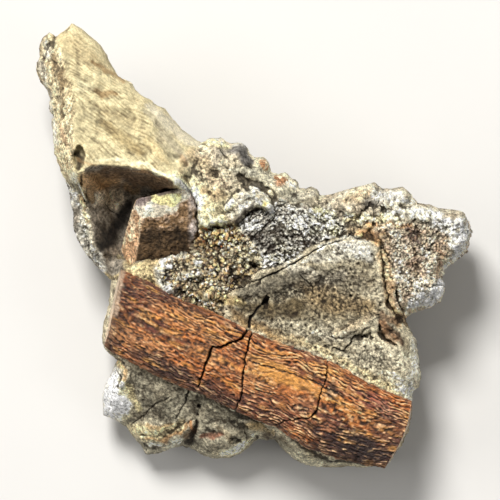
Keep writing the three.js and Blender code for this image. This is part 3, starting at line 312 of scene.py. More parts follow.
# Long low forms of the surface, raised or sunk: height, then x, y and half-width at each point.
FOLDS = [
    # arm: steps and troughs that run down its face
    (-0.45, [(-22.4, 25.2, 0.7), (-21, 24.4, 0.9), (-19.9, 23.8, 0.9), (-18.6, 23.1, 0.8)]),
    (0.2, [(-22.6, 24, 0.7), (-21.2, 23, 0.9), (-19.9, 22.4, 0.9), (-18.4, 21.9, 0.7)]),
    (-0.35, [(-21.8, 21.1, 0.8), (-20.4, 20.5, 0.9), (-18.8, 20.6, 0.8)]),
    (0.3, [(-23.4, 20, 0.8), (-21.3, 19.7, 1), (-18.8, 19.8, 1.1), (-16.5, 19, 1.1), (-14.2, 16.8, 1)]),
    (-0.35, [(-21.8, 19.2, 0.8), (-20.5, 18.5, 0.9), (-17.8, 17.7, 1.1), (-15.4, 16.5, 0.9)]),
    (-0.6, [(-20.8, 16.9, 0.9), (-19.6, 16.2, 1.2), (-18, 15.1, 1.5), (-16.7, 14.1, 1.5),
            (-15, 12.6, 1.1)]),
    (0.3, [(-22.6, 16.5, 0.8), (-21.3, 15.6, 0.9), (-19.2, 14, 1), (-17.6, 12.2, 0.9)]),
    (-0.3, [(-21.6, 14.6, 0.7), (-20.3, 13.7, 0.9), (-18.8, 12.4, 0.8)]),
    (-0.55, [(-15.2, 18.6, 0.7), (-14.4, 17.1, 1), (-13.3, 15.5, 1.1), (-11.9, 13.6, 1.1),
             (-10.7, 12.2, 0.8)]),
    (-0.3, [(-13, 16.8, 0.7), (-11.6, 15.2, 0.9), (-9.8, 13.4, 0.7)]),
    (0.25, [(-13, 18.4, 0.7), (-10.9, 16.3, 0.9), (-8.9, 14.4, 0.8), (-7.4, 13.7, 0.6)]),
    (-0.33, [(-29.4, 26.9, 0.3), (-28.2, 27.8, 0.4), (-27.3, 28.6, 0.4)]),
    (-0.26, [(-27.5, 25.7, 0.6), (-26.8, 23.6, 0.8), (-26.4, 20.9, 0.8), (-26.1, 18, 0.6)]),
    (0.2, [(-25.2, 27.4, 0.5), (-24.6, 23, 0.6), (-24.2, 18.8, 0.6), (-24.2, 14.7, 0.6)]),
    # upper body: bulge along the edge, trough and ridges behind the layers
    (-0.6, [(-7.3, 14.1, 0.2), (-5.4, 13.4, 0.3), (-3.8, 12.3, 0.3)]),
    (-0.8, [(-2, 9.6, 0.4), (-0.6, 8.4, 0.7), (1.9, 7.8, 0.5)]),
    (0.6, [(-1.3, 10.3, 0.5), (1.1, 9.5, 0.8), (2.7, 8.3, 0.6), (4.4, 6.6, 0.5)]),
    (0.8, [(-3.8, 5.2, 0.4), (-1.9, 6.7, 0.8), (0.1, 7.6, 1), (1.7, 6.8, 0.8), (2.3, 5.3, 0.4)]),
    (0.5, [(-6.6, 4, 0.4), (-5, 3.6, 0.6), (-3.2, 3.9, 0.5)]),
    # curled rim of the granular ground
    (0.6, [(-9.4, -0.7, 0.4), (-11.6, -1.4, 0.8), (-12.9, -2.8, 0.9), (-13, -4.4, 0.9),
           (-12.1, -6.1, 0.8), (-10.5, -7.4, 0.6), (-8.9, -8.1, 0.4)]),
    (0.5, [(-7.2, -6.4, 0.4), (-5.2, -6.6, 0.7), (-3.2, -6.8, 0.7), (-1.2, -6.2, 0.4)]),
    # right side: hooked rib and the rib inside the groove
    (0.9, [(14.2, 1.5, 0.3), (14.8, 2.2, 0.4), (15.9, 2.5, 0.5), (16.8, 1.8, 0.4), (17, 0.6, 0.3)]),
    (1.3, [(17.6, -0.8, 0.3), (18.4, -3.6, 0.45), (18.9, -6.4, 0.5), (19.8, -9.1, 0.4)]),
    (0.3, [(18, 4.2, 0.6), (21, 4.4, 0.9), (24.6, 4.3, 0.9)]),
    (-0.6, [(14.2, 4.1, 0.3), (15.6, 5.6, 0.6), (16.9, 5.4, 0.6), (17.8, 4.3, 0.3)]),
    (-0.5, [(13.2, 4.2, 0.2), (12.6, 5.8, 0.35), (13.6, 7.2, 0.3)]),
    # slab: raised upper margin and a dip below it
    (0.4, [(-1.6, -6.8, 0.5), (1.6, -5.6, 0.8), (4.4, -4.4, 0.8), (7, -3.2, 0.7)]),
    (-0.5, [(1.2, -7.6, 0.6), (3.4, -7, 1), (6.4, -6, 1.1), (9, -5.2, 0.8)]),
    (0.35, [(11.4, -12.2, 0.4), (13.4, -11.4, 0.7), (15.4, -10.6, 0.6)]),
    (-0.4, [(13.2, -12.9, 0.25), (14.6, -12.4, 0.4), (16, -12, 0.3)]),
    (0.3, [(13.4, -14, 0.4), (15.4, -13.4, 0.6), (17.2, -13.9, 0.4)]),
    # lower face: cream rim in two steps, pale curl at the left
    (0.6, [(-16.4, -26.6, 0.4), (-14.4, -27.2, 0.6), (-12.3, -27, 0.6), (-10.2, -26, 0.6),
           (-8.7, -24.6, 0.4)]),
    (-0.28, [(-15.6, -25.9, 0.4), (-13.6, -26.1, 0.5), (-11.4, -25.7, 0.5), (-9.6, -24.7, 0.4)]),
    (0.6, [(-18.8, -15.9, 0.3), (-17.8, -17, 0.45), (-17.8, -18.2, 0.4), (-18.2, -19, 0.2)]),
    (-0.5, [(-19, -16.6, 0.15), (-18.5, -18, 0.25), (-18.6, -19.4, 0.2)]),
    (0.5, [(-6.2, -25.2, 0.3), (-4.6, -24.9, 0.7), (-2.8, -25.4, 0.7), (-1.6, -26.6, 0.3)]),
    (0.45, [(-1.8, -24.2, 0.4), (0.6, -25.2, 0.7), (2.2, -26, 0.4)]),
]

# Stains, dustings and painted lines on the rock, and painted shade, shadow and light where noted:
# strength, screen colour, and x, y and half-width at each point of a path; a short path makes a patch.
PAINT = [
    # arm
    (0.55, (168, 150, 112), [(-26.6, 29, 1.2), (-25, 27.6, 1.9), (-23.4, 26, 1.6), (-21.6, 25, 1)]),
    # painted shade inside the deep oval pit
    (0.9, (50, 44, 35), [(-24, 12.9, 0.5), (-23.8, 11.8, 0.7), (-23.8, 10.6, 0.4)]),
    # painted shade along the broad troughs that run down the arm's face
    (0.4, (180, 162, 122), [(-21.6, 19.4, 0.5), (-19.4, 18, 1), (-16, 16.6, 1.2), (-14.6, 15.4, 0.6)]),
    (0.5, (184, 160, 108), [(-20.6, 16.8, 0.5), (-18, 14.6, 1.3), (-15.4, 13, 1)]),
    (0.45, (180, 158, 112), [(-14.6, 14.4, 0.6), (-12.6, 12.4, 0.9), (-11, 10.6, 0.6)]),
    (0.7, (142, 112, 72), [(-22.2, 25.3, 0.3), (-20.6, 24.3, 0.5), (-19.2, 23.5, 0.6), (-18, 22.9, 0.3)]),
    (0.7, (148, 116, 74), [(-23.4, 21.5, 0.3), (-21.4, 21.1, 0.5), (-19.9, 20.6, 0.6), (-18.8, 20.7, 0.3)]),
    (0.6, (190, 184, 168), [(-14.4, 19.4, 0.5), (-11.6, 16.8, 1.2), (-8.8, 14.4, 1), (-6.6, 13.7, 0.5)]),
    (0.4, (166, 156, 134), [(-13, 15, 0.7), (-10.8, 12.6, 0.9), (-9.6, 11.6, 0.5)]),
    (0.5, (158, 150, 132), [(-14.8, 18.6, 0.4), (-12.8, 16, 0.6), (-10.4, 13.4, 0.6), (-9.2, 11.6, 0.4)]),
    (0.7, (206, 198, 178), [(-29.4, 25, 0.7), (-28.6, 22, 0.5), (-27.7, 18, 0.4), (-27.2, 14, 0.4)]),
    (0.4, (120, 102, 74), [(-27.2, 25, 0.5), (-26.2, 23, 0.6), (-25.9, 20, 0.4)]),
    (0.5, (150, 106, 78), [(-26.4, 16.8, 0.3), (-26.1, 15.2, 0.5), (-25.7, 14, 0.3)]),
    (0.5, (190, 156, 112), [(-24.2, 11.9, 0.2), (-23, 11.6, 0.25), (-21.6, 11.2, 0.2)]),
    (0.6, (190, 146, 98), [(-17, 10.5, 0.15), (-14, 9.9, 0.2), (-11.9, 8.8, 0.2)]),
    (0.8, (240, 230, 190), [(-21.4, 11.8, 0.25), (-18, 11.5, 0.3), (-14.6, 10.9, 0.35), (-11, 9, 0.3)]),
    # painted light on the left side of the arm's tip
    (0.7, (240, 232, 206), [(-28.8, 28, 0.6), (-28.4, 26.6, 0.8)]),
    # painted light over the shaded start of a trough
    (0.6, (232, 224, 184), [(-23.8, 21.8, 0.7), (-22.4, 21.5, 0.9)]),
    # hollow
    (0.85, (184, 146, 100), [(-23, 8.6, 1.2), (-21, 8.8, 1.4), (-19, 9, 1)]),
    (0.9, (104, 80, 54), [(-20.4, 10, 0.7), (-18, 9.8, 1), (-15, 9, 1.3), (-11.6, 8, 1)]),
    # painted light on the hollow's upper floor, which lies in the arm's shadow
    (0.9, (240, 224, 196), [(-21.8, 6.6, 0.9), (-20.4, 6.8, 1.2), (-18.8, 7, 1), (-19, 5.6, 0.9)]),
    (0.7, (222, 188, 140), [(-23.9, 9.6, 0.3), (-23.9, 6.8, 0.4), (-22.9, 3.4, 0.3)]),
    (0.8, (230, 220, 192), [(-24.6, 9.4, 0.7), (-24.5, 7.6, 0.8)]),
    # painted light lifting the shadow between the block's corner and the arch
    (0.85, (170, 142, 106), [(-17.6, 8, 0.7), (-16.2, 7.6, 0.7)]),
    # painted shade low on the hollow's left side
    (0.85, (58, 50, 40), [(-21, 3, 0.8), (-21.4, 1, 0.8), (-21, -0.6, 0.6)]),
    # painted shadow beside the block's left face
    (0.97, (22, 18, 14), [(-17.3, 5.8, 0.8), (-18.4, 3.4, 1.4), (-19.6, 1.4, 1.6), (-20.4, 0, 1.1)]),
    (0.85, (120, 110, 96), [(-24.6, 5, 0.6), (-24.4, 3.4, 0.6)]),
    (0.8, (232, 226, 210), [(-21.8, -1.4, 0.7), (-20.8, -2.8, 0.7)]),
    # upper body
    (0.5, (196, 160, 118), [(-9.9, 12.2, 0.4), (-9.5, 11.1, 0.6), (-10, 10, 0.4)]),
    (0.35, (200, 168, 130), [(-7.6, 8, 0.6), (-6, 7.2, 0.7), (-5, 7, 0.4)]),
    (0.5, (216, 206, 166), [(-11.6, 12.6, 1), (-10.6, 10.6, 1), (-8.8, 9.2, 0.8)]),
    (0.45, (206, 180, 148), [(-6, 9.8, 1.1), (-4.4, 8.2, 1.2)]),
    (0.4, (182, 152, 120), [(-8.6, 12.4, 0.9), (-6.6, 11.6, 0.9)]),
    (0.85, (226, 212, 164), [(-6.6, 14.1, 0.5), (-5, 14.1, 0.7), (-3.9, 13.6, 0.5)]),
    (0.95, (84, 82, 80), [(-3, 13.4, 0.7), (-1.6, 13, 1), (-1.3, 11.9, 0.8), (-0.2, 11.4, 0.6)]),
    (0.7, (196, 194, 186), [(-2.8, 14, 0.2), (-1.6, 13.9, 0.3), (-0.6, 13, 0.2)]),
    (0.6, (150, 150, 134), [(-2, 10.4, 0.9), (0.6, 10, 1.1), (3.4, 8.4, 1.2), (5.4, 6.8, 1)]),
    (0.6, (168, 164, 148), [(6.4, 6.9, 1.2), (8.6, 7, 1)]),
    (0.75, (196, 146, 108), [(3.2, 8.6, 0.5), (4, 9, 0.7)]),
    (0.7, (224, 214, 192), [(4.9, 8.6, 0.5), (5.8, 8.1, 0.5)]),
    (0.75, (222, 216, 196), [(-3.6, 5.6, 0.4), (-1.6, 6.9, 0.8), (0.2, 7.6, 0.8)]),
    (0.8, (218, 186, 112), [(0.4, 6.6, 0.35), (1.6, 5.9, 0.45)]),
    (0.75, (168, 152, 120), [(-8.4, 12, 0.8), (-6.8, 11.2, 1.2), (-5.6, 10, 0.9)]),
    (0.6, (186, 160, 122), [(-6.8, 7.6, 0.8), (-5.2, 6.8, 1), (-4, 6.6, 0.6)]),
    # painted light over the hooked ridge's shadow, on both sides of it
    (0.85, (240, 234, 214), [(-1.6, 5.2, 0.6), (-0.4, 5.8, 0.8), (0.8, 6.4, 0.6)]),
    (0.85, (236, 230, 210), [(2.6, 5.2, 0.5), (3.7, 5.8, 0.8), (4.8, 5.4, 0.5)]),
    # painted shade in the trench between the lumps
    (0.75, (112, 105, 88), [(6, 5.8, 0.7), (7.4, 6.1, 0.8)]),
    (0.7, (112, 108, 102), [(-4.2, 13, 0.7), (-3, 12.8, 0.8)]),
    # cream rock behind the block's corner: its own cream, raised towards white as painted light against the
    # step's shade
    (0.85, (252, 242, 204), [(-10.4, 8.6, 0.7), (-9.4, 8.1, 0.8), (-8.2, 7, 0.7), (-7.4, 5.4, 0.6)]),
    # granular ground and its rim
    (0.85, (84, 64, 54), [(-12.4, -5.6, 0.5), (-10.8, -6.6, 0.6), (-8.6, -7.8, 0.6), (-7.2, -8.4, 0.5)]),
    (0.6, (208, 158, 88), [(-7, 1.2, 1.3), (-4.6, 1.6, 1.3), (-3, 1, 0.8)]),
    (0.6, (70, 58, 54), [(-4, -4.4, 0.7), (-2, -3.6, 0.9), (-0.4, -2.6, 0.8)]),
    (0.4, (78, 64, 52), [(-7.6, -6.4, 0.5), (-6, -5.6, 0.7), (-4.4, -6, 0.6)]),
    (0.75, (248, 238, 206), [(-11, -4, 0.9), (-9.4, -4.4, 1.4), (-7.4, -2.6, 0.8)]),
    (0.8, (212, 212, 200), [(-9.4, -1.2, 0.8), (-11.2, -1.8, 1.1), (-12.5, -3.1, 1.1),
                            (-12.5, -4.8, 0.9), (-11.4, -6.4, 0.7), (-10.4, -7.2, 0.5)]),
    (0.8, (118, 92, 80), [(-11.6, -6.8, 0.35), (-9.8, -8, 0.4), (-8, -8.6, 0.35)]),
    (0.6, (220, 202, 154), [(-17.4, -2.4, 0.8), (-14.8, -3.2, 0.8), (-14, -4.4, 0.5)]),
    (0.7, (206, 164, 88), [(-14.6, -5, 0.5), (-13.6, -5.8, 0.5)]),
    (0.75, (224, 200, 142), [(-7, -7.4, 0.5), (-4.4, -7.4, 0.7), (-1.8, -7.6, 0.7)]),
    # dark layers
    (0.8, (58, 52, 52), [(-2.4, 3.4, 0.5), (-1.4, 4.4, 0.6), (-0.2, 5.2, 0.5)]),
    (0.6, (206, 200, 150), [(8.4, 4.6, 0.9), (10.4, 3.8, 1.1), (11.2, 2.2, 0.8)]),
    (0.75, (50, 40, 34), [(6.2, 1.2, 0.4), (7, 0.2, 0.6), (8.2, 0, 0.4)]),
    (0.9, (240, 234, 210), [(1.4, -1.6, 0.6), (3, -1.6, 1), (4.6, -1.6, 1), (6.2, -0.9, 0.6)]),
    (0.75, (234, 224, 190), [(-2.6, -1.2, 0.8), (-1, -1.6, 1), (0.2, -1.4, 0.8)]),
    (0.6, (90, 82, 70), [(0.4, 2.4, 0.8), (3, 2, 1), (5.6, 2.4, 1), (5.8, 0.8, 0.7)]),
    # painted light over a shaded trench
    (0.6, (226, 220, 196), [(3.2, 0.6, 0.6), (4, 0, 0.6)]),
    (0.8, (84, 76, 62), [(3.6, 2.9, 0.5), (5, 2.4, 0.9), (6, 2.2, 0.6)]),
    # painted light over a shaded trench
    (0.75, (232, 226, 198), [(7.4, 1.9, 0.6), (9.2, 2.2, 0.8)]),
    # orange cream where the granular ground meets the ledge: the ground's own colour, raised as painted
    # light over the ledge's step shadow
    (0.8, (250, 224, 166), [(-6.8, 2.4, 0.7), (-4.6, 2.8, 0.9), (-2.6, 2.4, 0.7)]),
    # right ridge
    (0.5, (206, 178, 136), [(12.4, 6.4, 0.6), (14, 7, 1), (15.4, 7.6, 0.7)]),
    (0.6, (170, 166, 158), [(15.6, 5.8, 0.9), (17.2, 6, 0.9)]),
    (0.6, (228, 226, 214), [(16.4, 7.4, 0.6), (19, 6.9, 1), (21, 6.2, 0.7)]),
    (0.8, (244, 238, 214), [(18.4, 4.5, 0.6), (21.6, 4.5, 0.9), (25.4, 4.4, 0.8)]),
    (0.85, (244, 228, 180), [(12.8, 3.8, 0.6), (15.4, 3.8, 0.6), (19.4, 3.9, 0.6)]),
    (0.6, (206, 150, 92), [(15.6, 2.9, 0.2), (18.4, 3, 0.25), (21.6, 2.6, 0.3)]),
    # groove
    (0.85, (206, 164, 116), [(14.4, 1.4, 0.6), (15.8, 2, 0.9), (17, 0.6, 0.7)]),
    (0.85, (206, 176, 136), [(17.6, -1, 0.7), (18.4, -4, 1), (19, -7, 1.3), (20, -9.8, 1.2)]),
    (0.9, (240, 228, 202), [(19.6, -6.2, 0.45), (19.9, -8.2, 0.5)]),
    # right lobe
    (0.4, (170, 138, 116), [(21.6, 0, 1.2), (23.4, -3, 1.4)]),
    (0.5, (238, 228, 206), [(19.4, 1, 0.7), (19.8, -2, 0.9), (20.8, -5, 0.9)]),
    (0.85, (240, 238, 224), [(25, 2.8, 1), (26.8, 2.6, 1.3), (28.4, 1.2, 1.4), (28, -0.6, 1)]),
    (0.5, (178, 136, 104), [(25.2, 0.4, 0.4), (25.8, -1.6, 0.6), (25.2, -4, 0.4)]),
    # painted light on the lobe's rim as it curves down into shade
    (0.95, (255, 248, 232), [(22, -7.6, 0.9), (24, -7.4, 1.2), (25.8, -5.6, 0.9)]),
    # painted light on the right tip's shaded side
    (0.7, (255, 250, 236), [(28.4, 3.6, 0.8), (29, 2, 0.8)]),
    (0.9, (72, 56, 52), [(21.2, 2, 0.6), (22, 1.5, 1.1), (22.8, 0.8, 0.7)]),
    (0.85, (110, 84, 60), [(16.4, 1.8, 0.5), (17.6, 1.7, 0.8), (18.4, 0.9, 0.5)]),
    # slab
    # painted shade on the slab's lower part, where it tilts away from the light
    (0.6, (120, 106, 78), [(5.6, -8.6, 1.6), (8.4, -8.8, 1.9), (12, -8.8, 1.7), (16, -8.8, 1.4)]),
    (0.55, (214, 207, 188), [(4.6, -2.8, 0.8), (7.4, -4, 1.2), (10, -4.6, 1.2), (12, -4, 0.9)]),
    (0.7, (120, 100, 72), [(-3.4, -7, 0.5), (-3, -9, 0.5)]),
    # painted shadow beside the hole
    (0.9, (50, 41, 32), [(1.6, -7.4, 0.5), (2.2, -8.6, 0.6)]),
    (0.85, (84, 72, 56), [(5.2, -5, 0.4), (6.5, -5.4, 0.7), (7.2, -6.2, 0.4)]),
    (0.4, (206, 204, 200), [(11.4, 0.2, 0.4), (13.4, -0.3, 1), (15.6, -1.2, 0.9)]),
    (0.4, (206, 204, 192), [(8.4, -1.6, 0.6), (12, -0.8, 1.3), (15.6, -1, 1.2)]),
    # painted shade on the slab's left part, which faces away from the light
    (0.9, (100, 94, 80), [(-1.8, -6.6, 0.9), (1, -5.6, 1.3), (4.4, -4.6, 1.3), (6.6, -3.8, 0.7)]),
    (0.6, (226, 222, 206), [(6.6, -2.2, 0.25), (9.6, -0.1, 0.3), (12.4, 1.2, 0.35), (15.6, 0.6, 0.4)]),
    # painted shade on the slab's left part, which faces away from the light
    (0.9, (82, 70, 48), [(-1.6, -8.2, 0.8), (0.2, -8.6, 1.4), (2.6, -8.8, 1.8), (5.6, -8.4, 1.5)]),
    (0.8, (112, 90, 60), [(-2.4, -9.4, 0.8), (0.4, -11, 0.9), (3.4, -11.8, 0.8)]),
    (0.5, (124, 112, 90), [(6.4, -5.4, 1.2), (10, -4.6, 1.6), (15, -5, 1.6)]),
    (0.6, (146, 122, 84), [(8.4, -7, 2), (12, -7.6, 1.8), (15.4, -8.4, 1.2)]),
    (0.5, (176, 146, 100), [(-3, -9.8, 0.4), (0.4, -11.4, 0.5), (3.4, -12.4, 0.6), (6.4, -13, 0.9)]),
    (0.7, (220, 202, 156), [(6, -13, 0.5), (10, -14.7, 0.6), (13.6, -16.6, 0.6),
                             (17.6, -18.8, 0.8), (21.4, -20.6, 0.6)]),
    (0.5, (206, 188, 150), [(3, -11.6, 0.5), (8, -13.8, 0.6), (12, -15.6, 0.5)]),
    (0.6, (226, 216, 190), [(8.4, -12, 0.5), (10.4, -12.4, 0.8), (13.2, -12.4, 0.6)]),
    (0.3, (204, 196, 172), [(9.4, -11.4, 0.8), (12.4, -12, 1), (16, -14.6, 1.6), (20.4, -15.8, 1.4)]),
    (0.7, (216, 208, 186), [(22, -12.6, 0.6), (22.4, -17, 1), (21.2, -19.4, 1.4), (21.6, -21.6, 0.9)]),
    (0.75, (252, 240, 206), [(17.6, -17.4, 0.6), (19.6, -18.6, 1), (21.4, -19.8, 1)]),
    (0.8, (110, 84, 60), [(17.4, -9.6, 0.5), (18.8, -10.2, 0.6), (20.2, -10, 0.5)]),
    (0.6, (128, 100, 72), [(18.4, -5, 0.5), (19.2, -6.6, 0.6), (19.8, -8, 0.6)]),
    (0.9, (74, 54, 38), [(17.4, -10.6, 0.6), (18.4, -11.6, 0.9), (19.6, -12.6, 0.8), (20.2, -13.6, 0.4)]),
    (0.5, (190, 170, 138), [(11.4, -11.8, 0.6), (14, -10.8, 0.7), (16.6, -9.4, 0.6)]),
    (0.6, (148, 112, 80), [(17.6, -10.6, 0.6), (18.2, -12.6, 0.9), (19.2, -13.2, 0.6)]),
    # lower face
    (0.9, (242, 238, 224), [(-19.4, -17.2, 0.9), (-20, -20, 1.9), (-19.8, -23, 1.9)]),
    (0.75, (244, 232, 192), [(-18.2, -19, 0.6), (-17.8, -21, 1), (-18, -23.4, 1)]),
    # painted light that cancels the shadow the bone casts below its lower edge
    (0.6, (206, 198, 170), [(-9, -20.2, 0.5), (-6.4, -21.6, 0.7), (-3.4, -23.4, 0.8), (-1.8, -24.6, 0.7)]),
    (0.5, (200, 192, 170), [(-2.6, -22.8, 0.6), (-1.2, -24.2, 0.8)]),
    (0.85, (70, 58, 42), [(1.8, -26.4, 0.6), (3.4, -27, 0.8), (5, -28, 0.6)]),
    # painted shade in the deep recess between the two lobes
    (0.95, (32, 26, 20), [(-12, -28, 0.4), (-9.8, -27.4, 0.8), (-8.4, -27.4, 0.7)]),
    # the white lump's colour raised to near white as painted light on its shaded side
    (0.95, (255, 252, 240), [(-19.2, -21.4, 1), (-18.6, -22.6, 1.2), (-17.6, -21.8, 1)]),
    (0.6, (112, 98, 74), [(-5, -25.2, 0.5), (-3.8, -26, 0.8), (-3.2, -26.8, 0.5)]),
    (0.85, (226, 190, 140), [(-18.7, -16, 0.3), (-17.8, -17.2, 0.35), (-17.9, -18.4, 0.3)]),
    (0.75, (226, 210, 160), [(-17.4, -19.4, 0.6), (-16.6, -21.6, 0.7), (-15.8, -22.8, 0.5)]),
    (0.8, (224, 206, 160), [(-17, -25.6, 0.9), (-13.6, -26.2, 1.3), (-10.2, -25, 0.9)]),
    (0.8, (250, 242, 214), [(-15.2, -28.4, 0.9), (-12.4, -28.2, 0.8), (-9.8, -27, 0.5)]),
    (0.7, (150, 110, 66), [(-15.4, -26.6, 0.2), (-12.4, -27, 0.35), (-10.2, -26, 0.3), (-9.2, -24.8, 0.2)]),
    (0.5, (176, 140, 90), [(-14.8, -24.9, 0.4), (-13, -25.1, 0.5), (-11.2, -24.6, 0.3)]),
    (0.85, (168, 118, 72), [(-8.7, -24.6, 0.3), (-8.3, -25.4, 0.4)]),
    (0.85, (116, 72, 52), [(-7, -26.4, 0.5), (-5.6, -26.4, 0.6), (-4.4, -26.2, 0.4)]),
    # painted shadow in the groove
    (0.8, (100, 78, 54), [(-8.8, -25.6, 0.5), (-9.6, -27, 0.6)]),
    (0.85, (250, 238, 200), [(-5.4, -28.8, 0.5), (-3, -28.8, 0.8), (-1, -27.4, 0.7), (0.4, -26.2, 0.3)]),
    (0.5, (176, 150, 100), [(-1, -24.4, 0.5), (1.4, -25.2, 0.8), (2.6, -26, 0.4)]),
    # painted shade in the two small holes
    (0.9, (30, 25, 20), [(-7.6, -22.1, 0.26), (-7.55, -22.2, 0.26)]),
    (0.9, (34, 28, 22), [(-7.7, -23.2, 0.16), (-7.68, -23.5, 0.18)]),
    (0.4, (188, 184, 160), [(3, -27.6, 1), (8, -30, 0.8), (15, -30.4, 0.5)]),
]

# Crumbs of the granular ground: lowest and highest random value of a crumb, and its colour.
CRUMB_TONES = [(0, 0.3, (230, 218, 182)), (0.3, 0.5, (198, 172, 120)), (0.5, 0.66, (150, 118, 84)),
               (0.66, 0.84, (66, 54, 48))]

# Loose grains on the granular ground: how many, their colours, and the sides of a cube.
GRAINS = 900
GRAIN_TONES = [(190, 142, 84), (160, 104, 66), (210, 182, 118), (224, 212, 176), (84, 68, 60),
               (66, 56, 52), (214, 206, 184)]
CUBE_SIDES = np.array([(0, 1, 3, 2), (4, 6, 7, 5), (0, 4, 5, 1), (2, 3, 7, 6), (0, 2, 6, 4),
                       (1, 5, 7, 3)])

# The arm's ridge in plan, rising y and the x at each, and the gap between its striae.
ARM_RIDGE = ((11, 15, 19, 23, 27, 30), (-24, -24.1, -24.3, -25, -25.9, -25.2))
STRIA_SPACING = 0.44

# Line in plan that the dark layers run along: rising x and the y at each.
BEDDING = ((-3, 0, 3, 5, 7, 9, 12), (-2.6, -0.2, 1.4, 1.5, 0.6, -0.4, -0.4))

# Distance to a crack where there is none near, and the linear colour of the rock's buried points.
FAR_FROM_CRACK = 2.0
BURIED_TINT = (0.3, 0.27, 0.2)

# Borders that two crusts share.
LAYERS_TOP = [(-7.9, 2.3), (-3, 2.7), (-1, 4.9), (2.4, 5), (6.4, 5.3), (10.5, 5.2)]
SLAB_MARGIN = [(-5, -12), (-4, -8), (-1.9, -5.8), (1.1, -3.7), (4.3, -2.7), (7.1, -0.8), (9.8, 0.3)]
GROOVE_LINE = [(12.5, 1.6), (14.9, 2.4), (16.9, 2), (17.5, -0.1), (17.7, -2.6), (18.2, -5.4),
               (19, -7.7), (20.9, -10.4), (26, -12)]

# Crusts of the rock in plan: finely modelled parts of its upper surface, each over its own body.
CRUSTS = {
    "arm_crust": [
        (-34, 34), (-18, 34), (-6.5, 16), (-8.6, 12.3), (-10, 9.6), (-9.4, 7), (-12, 5.4),
        (-17, 7), (-22.2, 8), (-25, 9.2), (-34, 9)],
    "left_rim_crust": [
        (-34, 9), (-25, 9.2), (-22.2, 8), (-20.6, 5), (-19.6, 0), (-17, -2.1), (-21, -6), (-34, -6)],
    "upper_body_crust": [
        (-6.6, 16), (-8.7, 12.4), (-10.1, 9.7), (-9.5, 7), (-9, 4.5), *LAYERS_TOP, (12.2, 7.5),
        (13, 10), (0, 16)],
    "layered_crust": [
        (-22, -5), (-17, -2.1), (-13.2, -1.1), (-9, 4), *LAYERS_TOP, (12.7, 4.3), (12.5, 1.5),
        *SLAB_MARGIN[::-1], (-21, -6)],
    "slab_crust": [*SLAB_MARGIN, *GROOVE_LINE, (26, -23), (4, -16)],
    "lobe_crust": [(10.4, 5.3), (12.6, 4.2), *GROOVE_LINE, (34, -8), (34, 10), (12, 11)],
    "lower_crust": [
        (-26, -13), (-19, -14.6), (-9.5, -19.2), (-2.6, -22.4), (3, -24.2), (3, -34), (-26, -34)],
    "foot_crust": [(3, -24.2), (8, -27.6), (19, -30), (19, -34), (3, -34)],
}

# The upper body's crust is bent in plan, so its closing point lies under its elbow.
BENT_CRUST_ROOT = (-3.5, 2.5)

# ---- The long bone --------------------

BONE_UPPER_EDGE = [
    (-18.3, -3.3), (-15.1, -4.6), (-11.6, -6.4), (-8.2, -8), (-4.7, -9.5), (-1.2, -11.1),
    (2.2, -12.7), (6.4, -14), (9.8, -15.4), (13.3, -17.3), (17.4, -19.5), (21.7, -21.3),
]
BONE_LOWER_EDGE = [
    (-20.6, -13.7), (-18.8, -15.1), (-15.8, -16.7), (-13, -18.1), (-9.5, -19.6),
    (-6.8, -20.6), (-4.7, -21.6), (-2.4, -22.8), (0.1, -23.9), (2.9, -24.9), (5, -26.4),
    (7.7, -27.9), (11.2, -29.2), (14.7, -30), (18.1, -30.5),
]
BONE_OUTLINE = BONE_UPPER_EDGE + [(22.2, -25)] + BONE_LOWER_EDGE[::-1]

# Cracks across the bone: x, y, width, depth at each point of the path.
BONE_CRACKS = [
    [(1.1, -7.7, 0.45, 1.08), (0.4, -8.7, 0.38, 1.17), (-0.3, -9.8, 0.34, 1.08),
     (-0.6, -10.8, 0.38, 1.08), (-1.1, -11.8, 0.38, 1.08), (-1.7, -12.7, 0.34, 0.99),
     (-2.5, -13.1, 0.34, 0.99),
     (-3.9, -13.7, 0.3, 0.9), (-5, -14, 0.3, 0.9), (-5.7, -14, 0.34, 0.9), (-6.2, -15.1, 0.34, 0.9),
     (-6.6, -16.2, 0.34, 0.9), (-7.1, -17.4, 0.3, 0.81), (-7.5, -18.5, 0.26, 0.81),
     (-7.6, -19.4, 0.22, 0.72)],
    [(-0.3, -10.5, 0.22, 0.81), (-0.1, -11.3, 0.21, 0.81), (-0.6, -12.7, 0.2, 0.81),
     (-0.8, -14.1, 0.21, 0.81), (-1.2, -15.5, 0.22, 0.81), (-1.5, -17.1, 0.21, 0.81),
     (-1.7, -19.2, 0.21, 0.81), (-1.8, -20.6, 0.22, 0.81), (-2.2, -22, 0.21, 0.72),
     (-2.5, -22.7, 0.18, 0.63)],
    [(10.1, -15.1, 0.18, 0.54), (10, -16.5, 0.18, 0.63), (10.1, -17.4, 0.2, 0.63),
     (9.8, -18.8, 0.2, 0.63), (9.3, -19.9, 0.21, 0.72), (9, -21.3, 0.21, 0.72),
     (8.7, -22.3, 0.22, 0.72), (8.2, -23.2, 0.24, 0.72), (7.5, -23.8, 0.24, 0.63),
     (5.7, -23.8, 0.21, 0.54), (4.3, -24.2, 0.22, 0.54), (3, -24.6, 0.22, 0.54)],
    [(-1.1, -15.6, 0.15, 0.27), (1.1, -16.3, 0.22, 0.36), (3.6, -17.1, 0.22, 0.36),
     (6.4, -18, 0.21, 0.32), (8.4, -18.8, 0.22, 0.36), (10.5, -19.6, 0.22, 0.36),
     (11.6, -20.3, 0.15, 0.27)],
    [(2.6, -12.5, 0.15, 0.18), (5.2, -13.6, 0.18, 0.23), (7.9, -14.8, 0.2, 0.23),
     (9.8, -15.7, 0.15, 0.18)],
]

# Width of one wave of crests and slits across the bone.
FIBRE_SPACING = 0.45

